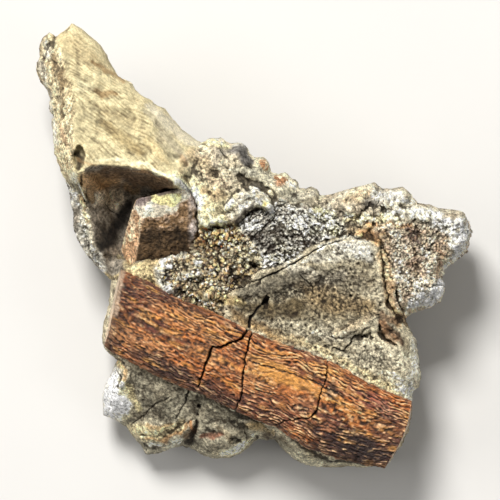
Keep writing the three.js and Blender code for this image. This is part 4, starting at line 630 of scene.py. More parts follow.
# The bone's broken ends: share of the way to the middle at each ring, and the way out of the bone.
BONE_END_DRAWS = (0.05, 0.11, 0.18, 0.26, 0.35, 0.46, 0.58, 0.7, 0.85, 1)
BONE_END_WAY = (0.92, -0.4, 0)

# The smooth gold band on the bone's back: x, y, radius along, radius across, turn.
BONE_CALM = (4.6, -18.2, 5.6, 1.9, -28)

# Washes of colour on the bone: x, y, radius along, radius across, turn, strength, colour.
BONE_WASHES = [
    (-16.6, -6.6, 4.6, 2.6, -25, 0.75, (92, 56, 42)),
    (-17.6, -12.2, 3, 0.8, -26, 0.6, (96, 58, 46)),
    (-19.2, -11.2, 2, 4, 0, 0.9, (70, 42, 28)),
    (-16.4, -10.2, 1.4, 1, -26, 0.6, (112, 70, 44)),
    (0, -16.4, 3.4, 1, -30, 0.5, (236, 170, 100)),
    (-12.6, -16.3, 4, 1, -26, 0.8, (62, 37, 30)),
    (-5.8, -13.6, 1.2, 1.6, -26, 0.75, (84, 52, 34)),
    (-2.6, -13, 1.4, 0.9, -26, 0.6, (110, 70, 44)),
    (-4, -21.6, 3.4, 0.9, -26, 0.75, (76, 45, 34)),
    (6.4, -22.7, 1, 0.8, -26, 0.6, (112, 70, 46)),
    (-9.8, -17.8, 2, 1, -26, 0.7, (78, 50, 36)),
    (-12.4, -6.7, 3, 0.8, -26, 0.8, (78, 46, 36)),
    (-8.2, -8.5, 2.6, 0.7, -26, 0.8, (84, 50, 38)),
    (9, -17.2, 5, 0.9, -28, 0.5, (236, 180, 112)),
    (-2, -21.8, 3, 0.9, -26, 0.6, (96, 62, 46)),
    (2.6, -24, 2, 1, -26, 0.75, (84, 52, 34)),
    (19.4, -28, 2, 1.4, -26, 0.6, (96, 72, 54)),
    (-15.4, -13.4, 5, 1.6, -26, 0.6, (204, 142, 88)),
    (-11.6, -17, 7, 1.6, -26, 0.85, (72, 44, 34)),
    (-4.4, -20.2, 5, 1.2, -26, 0.7, (96, 56, 40)),
    (-8, -10.6, 6, 2, -26, 0.55, (186, 132, 80)),
    (-6, -15.4, 4, 1.2, -26, 0.55, (190, 136, 84)),
    (-3.6, -15.6, 1.6, 2.4, -26, 0.4, (134, 82, 56)),
    (0.4, -18.8, 3, 1.6, -26, 0.6, (214, 146, 84)),
    (-1.6, -11.6, 3.4, 1, -26, 0.75, (120, 74, 46)),
    (-5.4, -12, 3, 1, -26, 0.4, (140, 88, 54)),
    (10.8, -17.4, 3, 1, -28, 0.75, (230, 166, 96)),
    (6.4, -21.4, 3, 0.9, -28, 0.6, (206, 140, 90)),
    (3.4, -14.6, 3.6, 1.6, -24, 0.55, (176, 112, 66)),
    (3.4, -17.2, 5, 1.3, -30, 0.75, (222, 160, 80)),
    (9.6, -20.4, 4.6, 1, -30, 0.7, (216, 156, 84)),
    (16, -24, 4, 1, -28, 0.5, (196, 136, 76)),
    (2, -21.8, 4.6, 1.2, -24, 0.5, (150, 94, 66)),
    (9.4, -23.4, 4, 1.4, -26, 0.6, (116, 74, 58)),
    (12.2, -18.6, 3.6, 1, -28, 0.6, (224, 156, 92)),
    (15.6, -20.8, 5, 1.2, -26, 0.7, (148, 88, 76)),
    (18.6, -22.6, 2.4, 1, -26, 0.5, (190, 132, 106)),
    (13, -27, 7.6, 2, -22, 0.95, (62, 40, 34)),
    (18.4, -25.6, 3, 3.4, -24, 0.6, (92, 60, 46)),
    (13.4, -26, 2, 1.1, -26, 0.8, (68, 43, 35)),
    (9.8, -24.8, 1.4, 0.8, -26, 0.6, (178, 116, 78)),
    (15.4, -28, 5, 1.4, -20, 0.9, (46, 29, 25)),
    (12, -28.8, 7, 1, -18, 0.9, (54, 36, 30)),
    (10.6, -19.8, 0.9, 1.4, -60, 0.8, (58, 50, 36)),
    (6.6, -14.4, 4, 0.6, -24, 0.6, (82, 52, 50)),
]

# ---- The small block of bone and the two chips --------------------

# The block's middle, and its faces, each a plane through three of its worn corners.
BLOCK_MIDDLE = (-12.6, 3.0, 16.0)
BLOCK_FACES = [
    ((-16.2, 6.6, 20.5), (-15.4, 3.2, 20.3), (-8.4, 7.5, 21.3)),
    ((-15.5, -2, 15.8), (-9, -1.5, 15.9), (-12, 3, 19.2)),
    ((-15.7, 4.4, 20.35), (-9.4, 6.7, 21.2), (-12, 3, 19.3)),
    ((-9.4, 6.7, 21.2), (-8.9, 7.8, 21.1), (-7.7, 5.2, 19)),
    ((-15.8, 6.6, 20.4), (-18.4, -1.7, 11.3), (-15.2, 3.2, 20.1)),
    ((-8, 5.6, 21.2), (-7.4, 5.8, 14), (-7.9, 1, 16)),
    ((-15.3, 6.6, 13.5), (-10.1, 7.9, 13.8), (-12.5, 7.3, 21.2)),
    ((-16, 0, 11.6), (-9, 0, 12.2), (-12, 6, 12)),
    ((-8.8, 7.8, 21), (-7.7, 6.4, 21), (-8.2, 7.1, 14)),
    ((-16.4, 6.9, 20), (-14.2, 7.8, 20.6), (-16.2, 7.2, 14)),
    ((-15.9, 6.9, 20), (-19.1, -2.4, 14), (-15.9, 6.9, 10)),
]

# The block's bright top and the yellow patch on it, in plan.
BLOCK_TOP = [
    (-16.6, 7), (-14, 8.1), (-10.8, 8.6), (-8.8, 8), (-8.6, 6.8), (-10, 5.9), (-10.6, 4.6),
    (-13, 4.2), (-15.2, 3.9), (-16.4, 5),
]
BLOCK_PATCH = [
    (-14.1, 6.8), (-13, 6.9), (-10, 7.2), (-9.8, 6.4), (-10.5, 5.5), (-11.6, 5.3), (-12.6, 5.5),
    (-13.8, 5.9),
]

# The two chips: middle, and reach along x, y and z.
UPPER_CHIP = ((1.15, 10.8, 16.4), (0.85, 1.1, 1.9))
LOWER_CHIP = ((3.5, 8.9, 17), (1.2, 0.8, 1.7))

# ---- Number helpers --------------------


def mix(a, b, share):
    """a moved towards b by a share."""
    return a + (b - a) * share


def smooth_step(low, high, value):
    """0 below low, 1 above high, an S-curve between."""
    t = np.clip((value - low) / (high - low), 0, 1)
    return t * t * (3 - 2 * t)


def lattice_value(i, j, k, seed):
    """A fixed pseudo-random value in 0..1: lattice numbers multiplied, shifted and wrapped."""
    h = (i * 374761393 + j * 668265263 + k * 1274126177 + seed * 974634777) & 0xFFFFFFFF
    h = ((h ^ (h >> 13)) * 1274126177) & 0xFFFFFFFF
    return (h ^ (h >> 16)) / 4294967296.0


def noise(x, y, z, seed):
    """Smooth noise in -1..1: values at the eight lattice corners blended by S-curves."""
    x, y, z = np.broadcast_arrays(x, y, z)
    i, j, k = (np.floor(a).astype(np.int64) for a in (x, y, z))
    u, v, w = (smooth_step(0, 1, a - b) for a, b in ((x, i), (y, j), (z, k)))
    total = 0.0
    for a, b, c in np.ndindex(2, 2, 2):
        share = (u if a else 1 - u) * (v if b else 1 - v) * (w if c else 1 - w)
        total = total + share * lattice_value(i + a, j + b, k + c, seed)
    return total * 2 - 1


def ripple(x, y, size, level, seed):
    """Noise over a plan, cut at one level; the size is one number, or one each way."""
    along_x, along_y = np.broadcast_to(size, 2)
    return noise(x / along_x, y / along_y, level, seed)


def layered_noise(points, size, octaves, seed, fall=0.5, bend=lambda layer: layer):
    """Noise of one size plus ever finer layers, each half as wide and a share as strong."""
    total, weight = 0.0, 0.0
    for n in range(octaves):
        layer = noise(*(np.moveaxis(points, -1, 0) * 2.0**n / size), seed + n)
        total = total + fall**n * bend(layer)
        weight += fall**n
    return total / weight


def billows(points, size, octaves, seed):
    """Rounded lumps with sharp creases, 0 to 1: the absolute values of layered noise."""
    return layered_noise(points, size, octaves, seed, 0.6, lambda a: np.minimum(2 * np.abs(a), 1))


def packed_grains(points, size, seed):
    """Grains packed side by side: dome height 0..1, 1 in the gaps between, each grain's value.

    One centre lies at a random place in each cube of the size. The nearest centre gives the dome,
    the nearest two together give the gap: 1 where they are equally far.
    """
    p = points / size
    home = np.floor(p).astype(np.int64)
    first = np.full(p.shape[:-1], 9.0)
    second, value = first.copy(), np.zeros(first.shape)
    for step in np.ndindex(3, 3, 3):
        cell = np.moveaxis(home + np.array(step) - 1, -1, 0)
        spot = np.stack([cell[a] + lattice_value(*cell, seed + a) for a in range(3)], -1)
        away = np.sqrt(((p - spot) ** 2).sum(-1))
        closer = away < first
        second = np.where(closer, first, np.minimum(second, away))
        first = np.where(closer, away, first)
        value = np.where(closer, lattice_value(*cell, seed + 7), value)
    return np.clip(1 - 1.5 * first**2, 0, 1), smooth_step(0.2, 0.03, second - first), value


def pit_holes(points, size, seed, share):
    """Scattered bowls, 0 outside to 1 at the middle; their width varies and a share has one."""
    dome, _, value = packed_grains(points, size, seed)
    reach = 0.25 + 0.55 * (value * 7.3 % 1)
    return np.clip(1 - (1 - dome) / reach**2, 0, 1) * (value < share)


def depth_inside(x, y, outline):
    """Distance to a closed outline, positive inside: nearest edge, with a ray-crossing test."""
    nearest = np.full(x.shape, np.inf)
    inside = np.zeros(x.shape, bool)
    for (ax, ay), (bx, by) in zip(outline, outline[1:] + outline[:1]):
        ex, ey = bx - ax, by - ay
        along = np.clip(((x - ax) * ex + (y - ay) * ey) / (ex * ex + ey * ey), 0, 1)
        nearest = np.minimum(nearest, np.hypot(x - ax - along * ex, y - ay - along * ey))
        if ay != by:
            inside ^= ((ay > y) != (by > y)) & (x < ax + (y - ay) * ex / ey)
    return np.where(inside, nearest, -nearest)


def near_path(x, y, path):
    """Signed distance to an open path, positive on its left, and the path's values there."""
    best = np.full(x.shape, np.inf)
    side = np.ones(x.shape)
    values = [np.zeros(x.shape) for _ in path[0][2:]]
    for a, b in zip(path, path[1:]):
        ex, ey = b[0] - a[0], b[1] - a[1]
        along = np.clip(((x - a[0]) * ex + (y - a[1]) * ey) / (ex * ex + ey * ey), 0, 1)
        dx, dy = x - a[0] - along * ex, y - a[1] - along * ey
        away = np.hypot(dx, dy)
        closer = away < best
        best = np.where(closer, away, best)
        side = np.where(closer, np.sign(ex * dy - ey * dx), side)
        values = [np.where(closer, mix(p, q, along), v) for p, q, v in zip(a[2:], b[2:], values)]
    return best * side, values


def brushed(x, y, path):
    """1 along a path, falling to 0 at its half-width."""
    away, (half,) = near_path(x, y, path)
    return smooth_step(1.25, 0.4, np.abs(away) / half)


def in_patch(x, y, patch):
    """1 inside a turned ellipse given by centre, radii and turn, falling to 0 just outside."""
    cx, cy, rx, ry, turn = patch[:5]
    c, s = math.cos(math.radians(turn)), math.sin(math.radians(turn))
    r = np.hypot(((x - cx) * c + (y - cy) * s) / rx, ((y - cy) * c - (x - cx) * s) / ry)
    return smooth_step(1.25, 0.55, r)


def even_points(path, shares):
    """Points of a path at shares 0..1 of its length."""
    path = np.array(path, float)
    length = np.concatenate([[0], np.cumsum(np.linalg.norm(np.diff(path, axis=0), axis=1))])
    return np.stack([np.interp(shares * length[-1], length, column) for column in path.T], 1)


def light_value(colour):
    """Linear light values of a colour given as screen values 0..255."""
    c = np.array(colour, float) / 255
    return np.where(c <= 0.04045, c / 12.92, ((c + 0.055) / 1.055) ** 2.4)


def tinted(colour, *marks):
    """Linear colours moved towards each mark's screen colour by its share, one after another: stains,
    painted shade and painted light alike.
    """
    for tone, share in marks:
        colour = mix(colour, light_value(tone), np.asarray(share)[..., None])
    return colour


def shaded(colour, hollowness, dark, bright):
    """Painted shade and highlight: colours times dark where the hollowness is 1, and times bright on
    crests, where it is -1.
    """
    light = mix(1, dark, np.clip(hollowness, 0, 1)) * mix(1, bright, np.clip(-hollowness, 0, 1))
    return colour * light[..., None]


# ---- Rock surface --------------------


def rock_lumps(x, y, z):
    """The rock's lumps at two sizes, in millimetres before scaling."""
    return 0.62 * noise(x / 6.5, y / 6.5, z / 6.5, 1) + 0.38 * noise(x / 2.8, y / 2.8, z / 2.8, 2)


def rim_height(x, y):
    """Height of the rock's widest line."""
    return RIM_HEIGHT + RIM_RISE * y + RIM_WANDER * ripple(x, y, 8, 0.5, 3)


def bed_height(x, y):
    """Height of the line between the bone's long edges: a gentle slope with a slight bow."""
    return 17.6 + 0.06 * (x + 18.3) + 0.215 * (y + 3.3) + 1 - (x / 21) ** 2


def ground(x, y):
    """Height of the rock's upper surface and the share of each field in it, laid in turn.

    A field's height is the lowest of its planes. It takes over across a soft, wavering edge. The
    hollow, the bed of the bone, the lumps and the folds follow.
    """
    z = 16 + 0.1 * y
    shares = {name: np.zeros(x.shape) for name in FIELDS}
    shares["wall"] = np.ones(x.shape)
    wx = x + 0.3 * ripple(x, y, 1.3, 0, 21) + 0.14 * ripple(x, y, 0.5, 0, 22)
    wy = y + 0.3 * ripple(x, y, 1.3, 9, 23) + 0.14 * ripple(x, y, 0.5, 9, 24)

    def lay(name, share):
        """Gives a field its share of each place and takes that share from all others."""
        for other in shares:
            shares[other] = shares[other] * (1 - share)
        shares[name] = shares[name] + share

    for name, field in FIELDS.items():
        if "edge" in field:
            depth = depth_inside(wx, wy, field["edge"])
            planes = [pz + gx * (x - px) + gy * (y - py) for px, py, pz, gx, gy in field["planes"]]
            share = smooth_step(-field["soft"] / 2, field["soft"] / 2, depth)
            z = mix(z, np.minimum.reduce(planes), share) if planes else z
            lay(name, share)
    brink = depth_inside(mix(x, wx, 0.4), mix(y, wy, 0.4), HOLLOW_BRINK)
    floor = HOLLOW_FLOOR + HOLLOW_RISE * (y - 4)
    z = mix(z, floor, np.clip(brink / HOLLOW_RAMP, 0, 1))
    lay("hollow", smooth_step(0, 0.25, brink))
    under_bone = smooth_step(0.1, 0.7, depth_inside(x, y, BONE_OUTLINE))
    z = mix(z, bed_height(x, y) - 0.5, under_bone)
    for cx, cy, rx, ry, height in LUMPS:
        r = np.minimum(np.hypot((x - cx) / rx, (y - cy) / ry), 1)
        z = z + height * (1 - r * r) ** 2
    for height, path in FOLDS:
        away, (half,) = near_path(wx, wy, path)
        r = np.minimum(np.abs(away) / (1.5 * half), 1)
        z = z + height * (1 - r * r) ** 2
    return z, shares


def finish_of(shares, number):
    """One of the fields' finish numbers, averaged by the share of each field."""
    return sum(share * FIELDS[name]["finish"][number] for name, share in shares.items())


def carve(x, y):
    """Depth of the grooves and pits: grooves narrow to a floor, pits are bowls."""
    depth = np.zeros(x.shape)
    for path in ROCK_GROOVES:
        away, (width, deep) = near_path(x, y, path)
        half = width * (0.9 * deep / (deep + 1.2) + GROOVE_FLOOR * 2.5 / (deep + 2.5))
        away = np.abs(away) + 0.2 * ripple(x, y, 0.7, 0, 31)
        slope = (half - away) / (half - GROOVE_FLOOR * width)
        depth = np.maximum(depth, deep * np.clip(slope, 0, 1))
    for cx, cy, rx, ry, deep in ROCK_PITS:
        r = np.hypot((x - cx) / rx, (y - cy) / ry) + 0.12 * ripple(x, y, 0.5, 5, 32)
        depth = np.maximum(depth, deep * np.sqrt(np.clip(1 - r * r, 0, 1)))
    return depth


def upper_height(x, y):
    """Upper surface with its lumps added and its outline rounded off, and its field shares."""
    z, shares = ground(x, y)
    short = 1 - np.clip(depth_inside(x, y, OUTLINE), 0, EDGE_ROUNDING) / EDGE_ROUNDING
    drop = EDGE_DROP * (z - rim_height(x, y)) * (1 - np.sqrt(1 - short * short))
    z = z + finish_of(shares, 0) * rock_lumps(x, y, z) - drop - carve(x, y)
    return np.minimum(HEIGHT, z), shares


def side_lines(path, count):
    """A side of the outline at even steps, and the smooth guide line that it wiggles about."""
    even = even_points(path, np.linspace(0, 1, GUIDE_POINTS))
    guide = even.copy()
    for _ in range(GUIDE_PASSES):
        guide[1:-1] = guide[1:-1] / 2 + (guide[2:] + guide[:-2]) / 4
    place = np.linspace(0, GUIDE_POINTS - 1, count + 1)
    return [np.stack([np.interp(place, np.arange(GUIDE_POINTS), column) for column in line.T], 1)
            for line in (even, guide)]


def sheet_plan(count):
    """Corners of the upper sheet in plan: a Coons patch between the four guide lines.

    Sides across plus sides down minus the corners' own blend; each side's wiggles are added and
    fade out over EDGE_FADE of the sheet.
    """
    (top, top_g), (right, right_g) = side_lines(TOP_SIDE, count), side_lines(RIGHT_SIDE, count)
    (bottom, bottom_g), (left, left_g) = (
        [line[::-1] for line in side_lines(path, count)] for path in (BOTTOM_SIDE, LEFT_SIDE))
    s = np.linspace(0, 1, count + 1)[None, :, None]
    t = np.linspace(0, 1, count + 1)[:, None, None]
    patch = mix(top_g[None], bottom_g[None], t) + mix(left_g[:, None], right_g[:, None], s)
    patch = patch - mix(mix(top_g[0], top_g[-1], s), mix(bottom_g[0], bottom_g[-1], s), t)

    def fade(share):
        """1 on a side, falling evenly to 0."""
        return np.clip(1 - share / EDGE_FADE, 0, 1)

    patch = patch + (top - top_g)[None] * fade(t) + (bottom - bottom_g)[None] * fade(1 - t)
    return patch + (left - left_g)[:, None] * fade(s) + (right - right_g)[:, None] * fade(1 - s)


# ---- Rock relief and colour --------------------


def arm_striae(x, y):
    """Chevron striae of the arm: waves across lines that lean back on both sides of its ridge."""
    from_ridge = x - np.interp(y, *ARM_RIDGE)
    across = 0.8 * y + 0.6 * np.abs(from_ridge) * np.where(from_ridge > 0, 1, 1.9)
    across = across + 0.5 * ripple(x, y, 3.5, 0, 81) + 0.09 * ripple(x, y, 0.8, 0, 80)
    strong = smooth_step(-0.9, 0.9, ripple(x, y, (1.6, 1.2), 0, 90))
    waves = 0.5 * strong * np.sin(2 * math.pi * across / STRIA_SPACING)
    return waves + 0.6 * noise(across / 0.17, x / 0.8, 0, 83)


def layer_flakes(x, y, crags, crumb):
    """Leaves of the dark layers, 0 in their gaps to 1: absolute noise drawn out along a bent bed."""
    level = y - np.interp(x, *BEDDING)
    level = level + 0.35 * ripple(x, y, 1.9, 0, 85) + 0.16 * ripple(x, y, 0.7, 0, 86)
    thick = np.minimum(np.abs(ripple(x, level, (0.8, 0.36), 0, 87)) / 0.4, 1)
    thin = np.minimum(np.abs(ripple(x, level, (0.5, 0.2), 0, 88)) / 0.4, 1)
    broken = 0.5 * crags + 0.3 * (crumb - 0.3) + 0.3 * ripple(x, y, (1.6, 1.2), 0, 89)
    return np.clip(0.42 * thick + 0.34 * thin + broken + 0.1, 0, 1)


def rock_relief(points, shares):
    """Fine relief in millimetres along the normal, and its parts that the colour follows.

    Crags are layered noise and its absolute values, knobs and crumbs are billows and packed
    grains, pits are scattered bowls, each by the fields' own amounts. The arm has striae and
    dimples, the dark layers have leaves, the granular ground has its own larger grains.
    """
    x, y, z = np.moveaxis(points, -1, 0)
    craggy, knobbly, crumbly, pitted = (finish_of(shares, n) for n in range(1, 5))
    crags = layered_noise(points, 1.7, 4, 41, 0.6)
    sharp = 1 - 2 * np.abs(layered_noise(points, 2.4, 3, 45))
    drawn = noise((0.8 * x - 0.6 * y) / 3.2, (0.6 * x + 0.8 * y) / 1.1 + 0.5 * crags, z / 1.6, 57)
    bent = points + 0.3 * crags[..., None]
    knob, lump = billows(bent, 1.9, 3, 51), billows(bent, 0.75, 2, 55)
    dome, gap, value = packed_grains(bent, 0.38, 61)
    crumb = 0.5 * lump + 0.5 * dome * (0.5 + value) - 0.35 * gap
    pit = pit_holes(bent, 1.3, 71, 0.3) * smooth_step(0.15, 0.25, pitted)
    pit = np.maximum(pit, pit_holes(bent, 0.6, 73, 0.3))
    striae, dimple = arm_striae(x, y), ripple(x, y, (0.5, 0.36), 0, 84)
    flakes = layer_flakes(x, y, crags, crumb)
    relief = craggy * (0.9 * crags + 0.3 * sharp + 0.8 * (0.5 - np.abs(drawn)))
    relief = relief + 1.5 * (knobbly * (knob - 0.5) + crumbly * (crumb - 0.3)) - 1.1 * pitted * pit
    relief = relief + (0.055 * shares["arm"] + 0.1 * shares["arm side"]) * striae
    relief = relief + 0.03 * shares["arm"] * dimple + shares["dark layers"] * (0.8 * flakes - 0.5)

    granular = shares["granular ground"]
    big, hole, tone = np.zeros((3, *x.shape))
    if granular.any():
        big, hole, tone = packed_grains(bent + 0.24 * crags[..., None], 0.78, 63)
        patches = smooth_step(-0.35, 0.2, layered_noise(points, 1.3, 3, 96))
        hole, tone = hole * patches, mix(0.55, tone, patches)
        relief = relief + granular * (0.36 * big * tone * patches - 0.4 * hole)

    loud = np.clip(crumbly / 0.2, 0, 1)
    creases = np.maximum(smooth_step(0.22, 0.02, knob) * np.clip(knobbly / 0.25, 0, 1),
                         smooth_step(0.2, -0.2, crumb) * loud)
    return relief, dict(crags=crags, pit=pit * np.clip(pitted / 0.2, 0, 1), creases=creases,
                        striae=striae, dimple=dimple, flakes=flakes, value=value, hole=hole,
                        tone=tone, loud=loud)


def rock_colour(points, shares, parts, hollowness, below=0):
    """Linear colour at each point: the fields' colours, painted stains with painted shade, shadow and light
    among them, then painted shade in hollows and painted highlights on crests.

    The painted marks fade out below the rim of the upper surface.
    """
    x, y, z = np.moveaxis(points, -1, 0)
    crags, flakes, value = parts["crags"], parts["flakes"], parts["value"]
    arm, granular, layers = (shares[name] for name in ("arm", "granular ground", "dark layers"))
    blotch = smooth_step(-0.3, 0.45, layered_noise(points, 2.6, 4, 91, 0.65))
    pale_arm = 0.26 * blotch - 0.8 * parts["striae"] - 0.25 * parts["dimple"]
    turns = {"arm": smooth_step(-0.1, 1.1, pale_arm),
             "arm side": smooth_step(-0.4, 0.6, blotch - 0.5 - 0.8 * parts["striae"]),
             # The dark layers take their darker second colour in the gaps between their leaves: their own
             # banding with painted shade.
             "dark layers": smooth_step(0.8, 0.35, flakes)}
    colour = 0
    for name, share in shares.items():
        main, second = (light_value(c) for c in FIELDS[name]["colours"])
        colour = colour + share[..., None] * mix(main, second, turns.get(name, blotch)[..., None])
    wx = x + 0.35 * crags + 0.2 * ripple(x, y, 0.6, 0, 93)
    wy = y + 0.4 * ripple(x, y, 1.1, 4, 94) + 0.15 * ripple(x, y, 0.4, 4, 95)
    facing_up = smooth_step(4, 9, z) * smooth_step(4.5, 0.5, below + 2 * crags)
    for strength, tone, path in PAINT:
        colour = tinted(colour, (tone, strength * facing_up * brushed(wx, wy, path)))

    grainy = 0.65 * granular + 0.25 * shares["right lobe"]
    for low, high, tone in CRUMB_TONES:
        colour = tinted(colour, (tone, grainy * ((value >= low) & (value < high))))
    clump = smooth_step(-0.3, 0.35, layered_noise(points, 1.5, 3, 92))
    patchy = mix(1, mix(0.6, 1.5, clump) * mix(0.5, 1.6, parts["tone"]), granular)
    # Clumps and grains vary in tone; the gaps between the big grains are painted near black as painted
    # shade.
    colour = tinted(colour * patchy[..., None], ((30, 24, 20), 0.85 * granular * parts["hole"]))
    colour = colour * (1 + 0.3 * parts["loud"] * (value - 0.4))[..., None]
    shade = np.clip(hollowness / 0.18, -1, 1) * (1 - 0.9 * shares["hollow"] - 0.45 * arm)
    # Painted shade in pits and in the creases between knobs and crumbs; the dark layers darker in the gaps
    # between their leaves and pale on the leaves' tops, their own banding with painted shade and highlight;
    # a brown painted shade in hollows.
    colour = tinted(
        colour,
        ((44, 34, 25), 0.85 * parts["pit"]),
        ((60, 48, 36), 0.55 * parts["creases"]),
        ((26, 22, 20), 0.85 * layers * smooth_step(0.42, 0.16, flakes)),
        ((232, 228, 210), 0.75 * layers * smooth_step(0.78, 0.97, flakes)),
        ((92, 72, 52), 0.5 * np.clip(shade, 0, 1)))
    sand = (0.75 - 0.5 * arm - 0.1 * shares["slab"]) * layered_noise(points, 0.34, 2, 97)
    # Painted shade in hollows and painted highlight on crests, random sandy grain, and a little painted
    # light on raised crags.
    colour = shaded(colour, shade, 0.32, 1.55) * (1 + sand + 0.1 * crags)[..., None]
    return np.clip(colour, *ROCK_RANGE)


def crack_lines(x, y, z):
    """Signed distance to the nearest fine crack, and its half-width there, both in millimetres."""
    side, half = np.full(x.shape, FAR_FROM_CRACK), np.zeros(x.shape)
    wx = x + 0.2 * ripple(x, y, 0.8, 1, 101) + 0.06 * ripple(x, y, 0.25, 1, 103)
    wy = y + 0.2 * ripple(x, y, 0.8, 7, 102)
    for path in ROCK_CRACKS:
        away, (width,) = near_path(wx, wy, path)
        closer = np.abs(away) < np.abs(side)
        side = np.where(closer, away, side)
        half = np.where(closer, width / 2, half)
    return side, half * (np.abs(side) < 1.5) * (z > 8)


def dressed(points, normals, shares, spacing, below=0):
    """Points with their fine relief, their colour, their cracks and the strength of their grit.

    The relief fades towards the flat underside and under the bone, and where it would reach
    farther than a small overhang past the outline. Hollows, narrow and wider, get painted shade
    and crests painted highlights in the colour, from the height against the same height averaged
    over some breadth.
    """
    relief, parts = rock_relief(points, shares)
    x, y, z = np.moveaxis(points, -1, 0)
    side, half = crack_lines(x, y, z)
    relief = relief - 0.5 * smooth_step(0.1, -0.1, np.abs(side) - half) * (half > 0.02)
    under_bone = smooth_step(0.2, 0.7, depth_inside(x, y, BONE_OUTLINE))
    fade = smooth_step(0.2, 2.2, z) * (1 - 0.9 * under_bone)
    moved = points + normals * (relief * fade)[..., None]
    overhang = depth_inside(moved[..., 0], moved[..., 1], OUTLINE)
    moved = mix(points, moved, smooth_step(-0.42, -0.25, overhang)[..., None])
    moved[..., 2] = np.clip(moved[..., 2], 0, HEIGHT)
    near, wide = (spread(moved[..., 2], int(2 * (reach / spacing) ** 2)) - moved[..., 2]
                  for reach in (0.3, 1.2))
    hollowness = 1.9 * near + (0.25 - 0.19 * shares["arm"]) * np.clip(wide, -0.6, 0.6)
    colour = rock_colour(moved, shares, parts, hollowness, below)
    return moved, colour, side, half, 1 - 0.6 * shares["arm"]


# ---- Meshes --------------------


def grid_faces(rows, columns, closed=False):
    """Quads of a grid of rows and columns, columns joined round when closed."""
    r = np.arange(rows - 1)[:, None]
    c = np.arange(columns if closed else columns - 1)[None, :]
    d = (c + 1) % columns
    corners = (r * columns + c, (r + 1) * columns + c, (r + 1) * columns + d, r * columns + d)
    return np.stack([a.ravel() for a in corners], 1)


def vertex_normals(points, faces):
    """Unit normals at the points: the cross products of the faces' diagonals, summed."""
    corner = [points[faces[:, n]] for n in range(4)]
    cross = np.cross(corner[2] - corner[0], corner[3] - corner[1])
    normals = np.zeros_like(points)
    for n in range(4):
        np.add.at(normals, faces[:, n], cross)
    return normals / np.maximum(np.linalg.norm(normals, axis=1), 1e-9)[:, None]


def spread(field, passes):
    """A grid's values averaged with their neighbours again and again."""
    field = field.copy()
    for _ in range(passes):
        field[1:-1] = field[1:-1] / 2 + (field[2:] + field[:-2]) / 4
        field[:, 1:-1] = field[:, 1:-1] / 2 + (field[:, 2:] + field[:, :-2]) / 4
    return field


def place_object(name, data):
    """A new object at the origin, in the scene."""
    placed = bpy.data.objects.new(name, data)
    bpy.context.scene.collection.objects.link(placed)
    return placed


def new_piece(name, points, faces, material, tint, values=(), uv=None, stands_for=None,
              flat=False):
    """A mesh object from points in millimetres and arrays of faces, with its finish and its body."""
    mesh = bpy.data.meshes.new(name)
    corners = [face for group in faces for face in group.tolist()]
    mesh.from_pydata((points * MM).tolist(), [], corners)
    if not flat:
        mesh.shade_smooth()
    layer = mesh.color_attributes.new("tint", "FLOAT_COLOR", "POINT")
    opaque = np.column_stack([tint, np.ones(len(tint))]).astype(np.float32)
    layer.data.foreach_set("color", opaque.ravel())
    for key, numbers in dict(values).items():
        layer = mesh.attributes.new(key, "FLOAT", "POINT")
        layer.data.foreach_set("value", numbers.astype(np.float32))
    if uv is not None:
        owner = np.empty(len(mesh.loops), np.int32)
        mesh.loops.foreach_get("vertex_index", owner)
        layer = mesh.uv_layers.new(name="grain")
        layer.data.foreach_set("uv", (uv[owner] * MM).astype(np.float32).ravel())
    mesh.materials.append(material)
    piece = place_object(name, mesh)
    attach(piece, "root")
    if stands_for:
        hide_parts(stands_for)


# ---- Materials --------------------


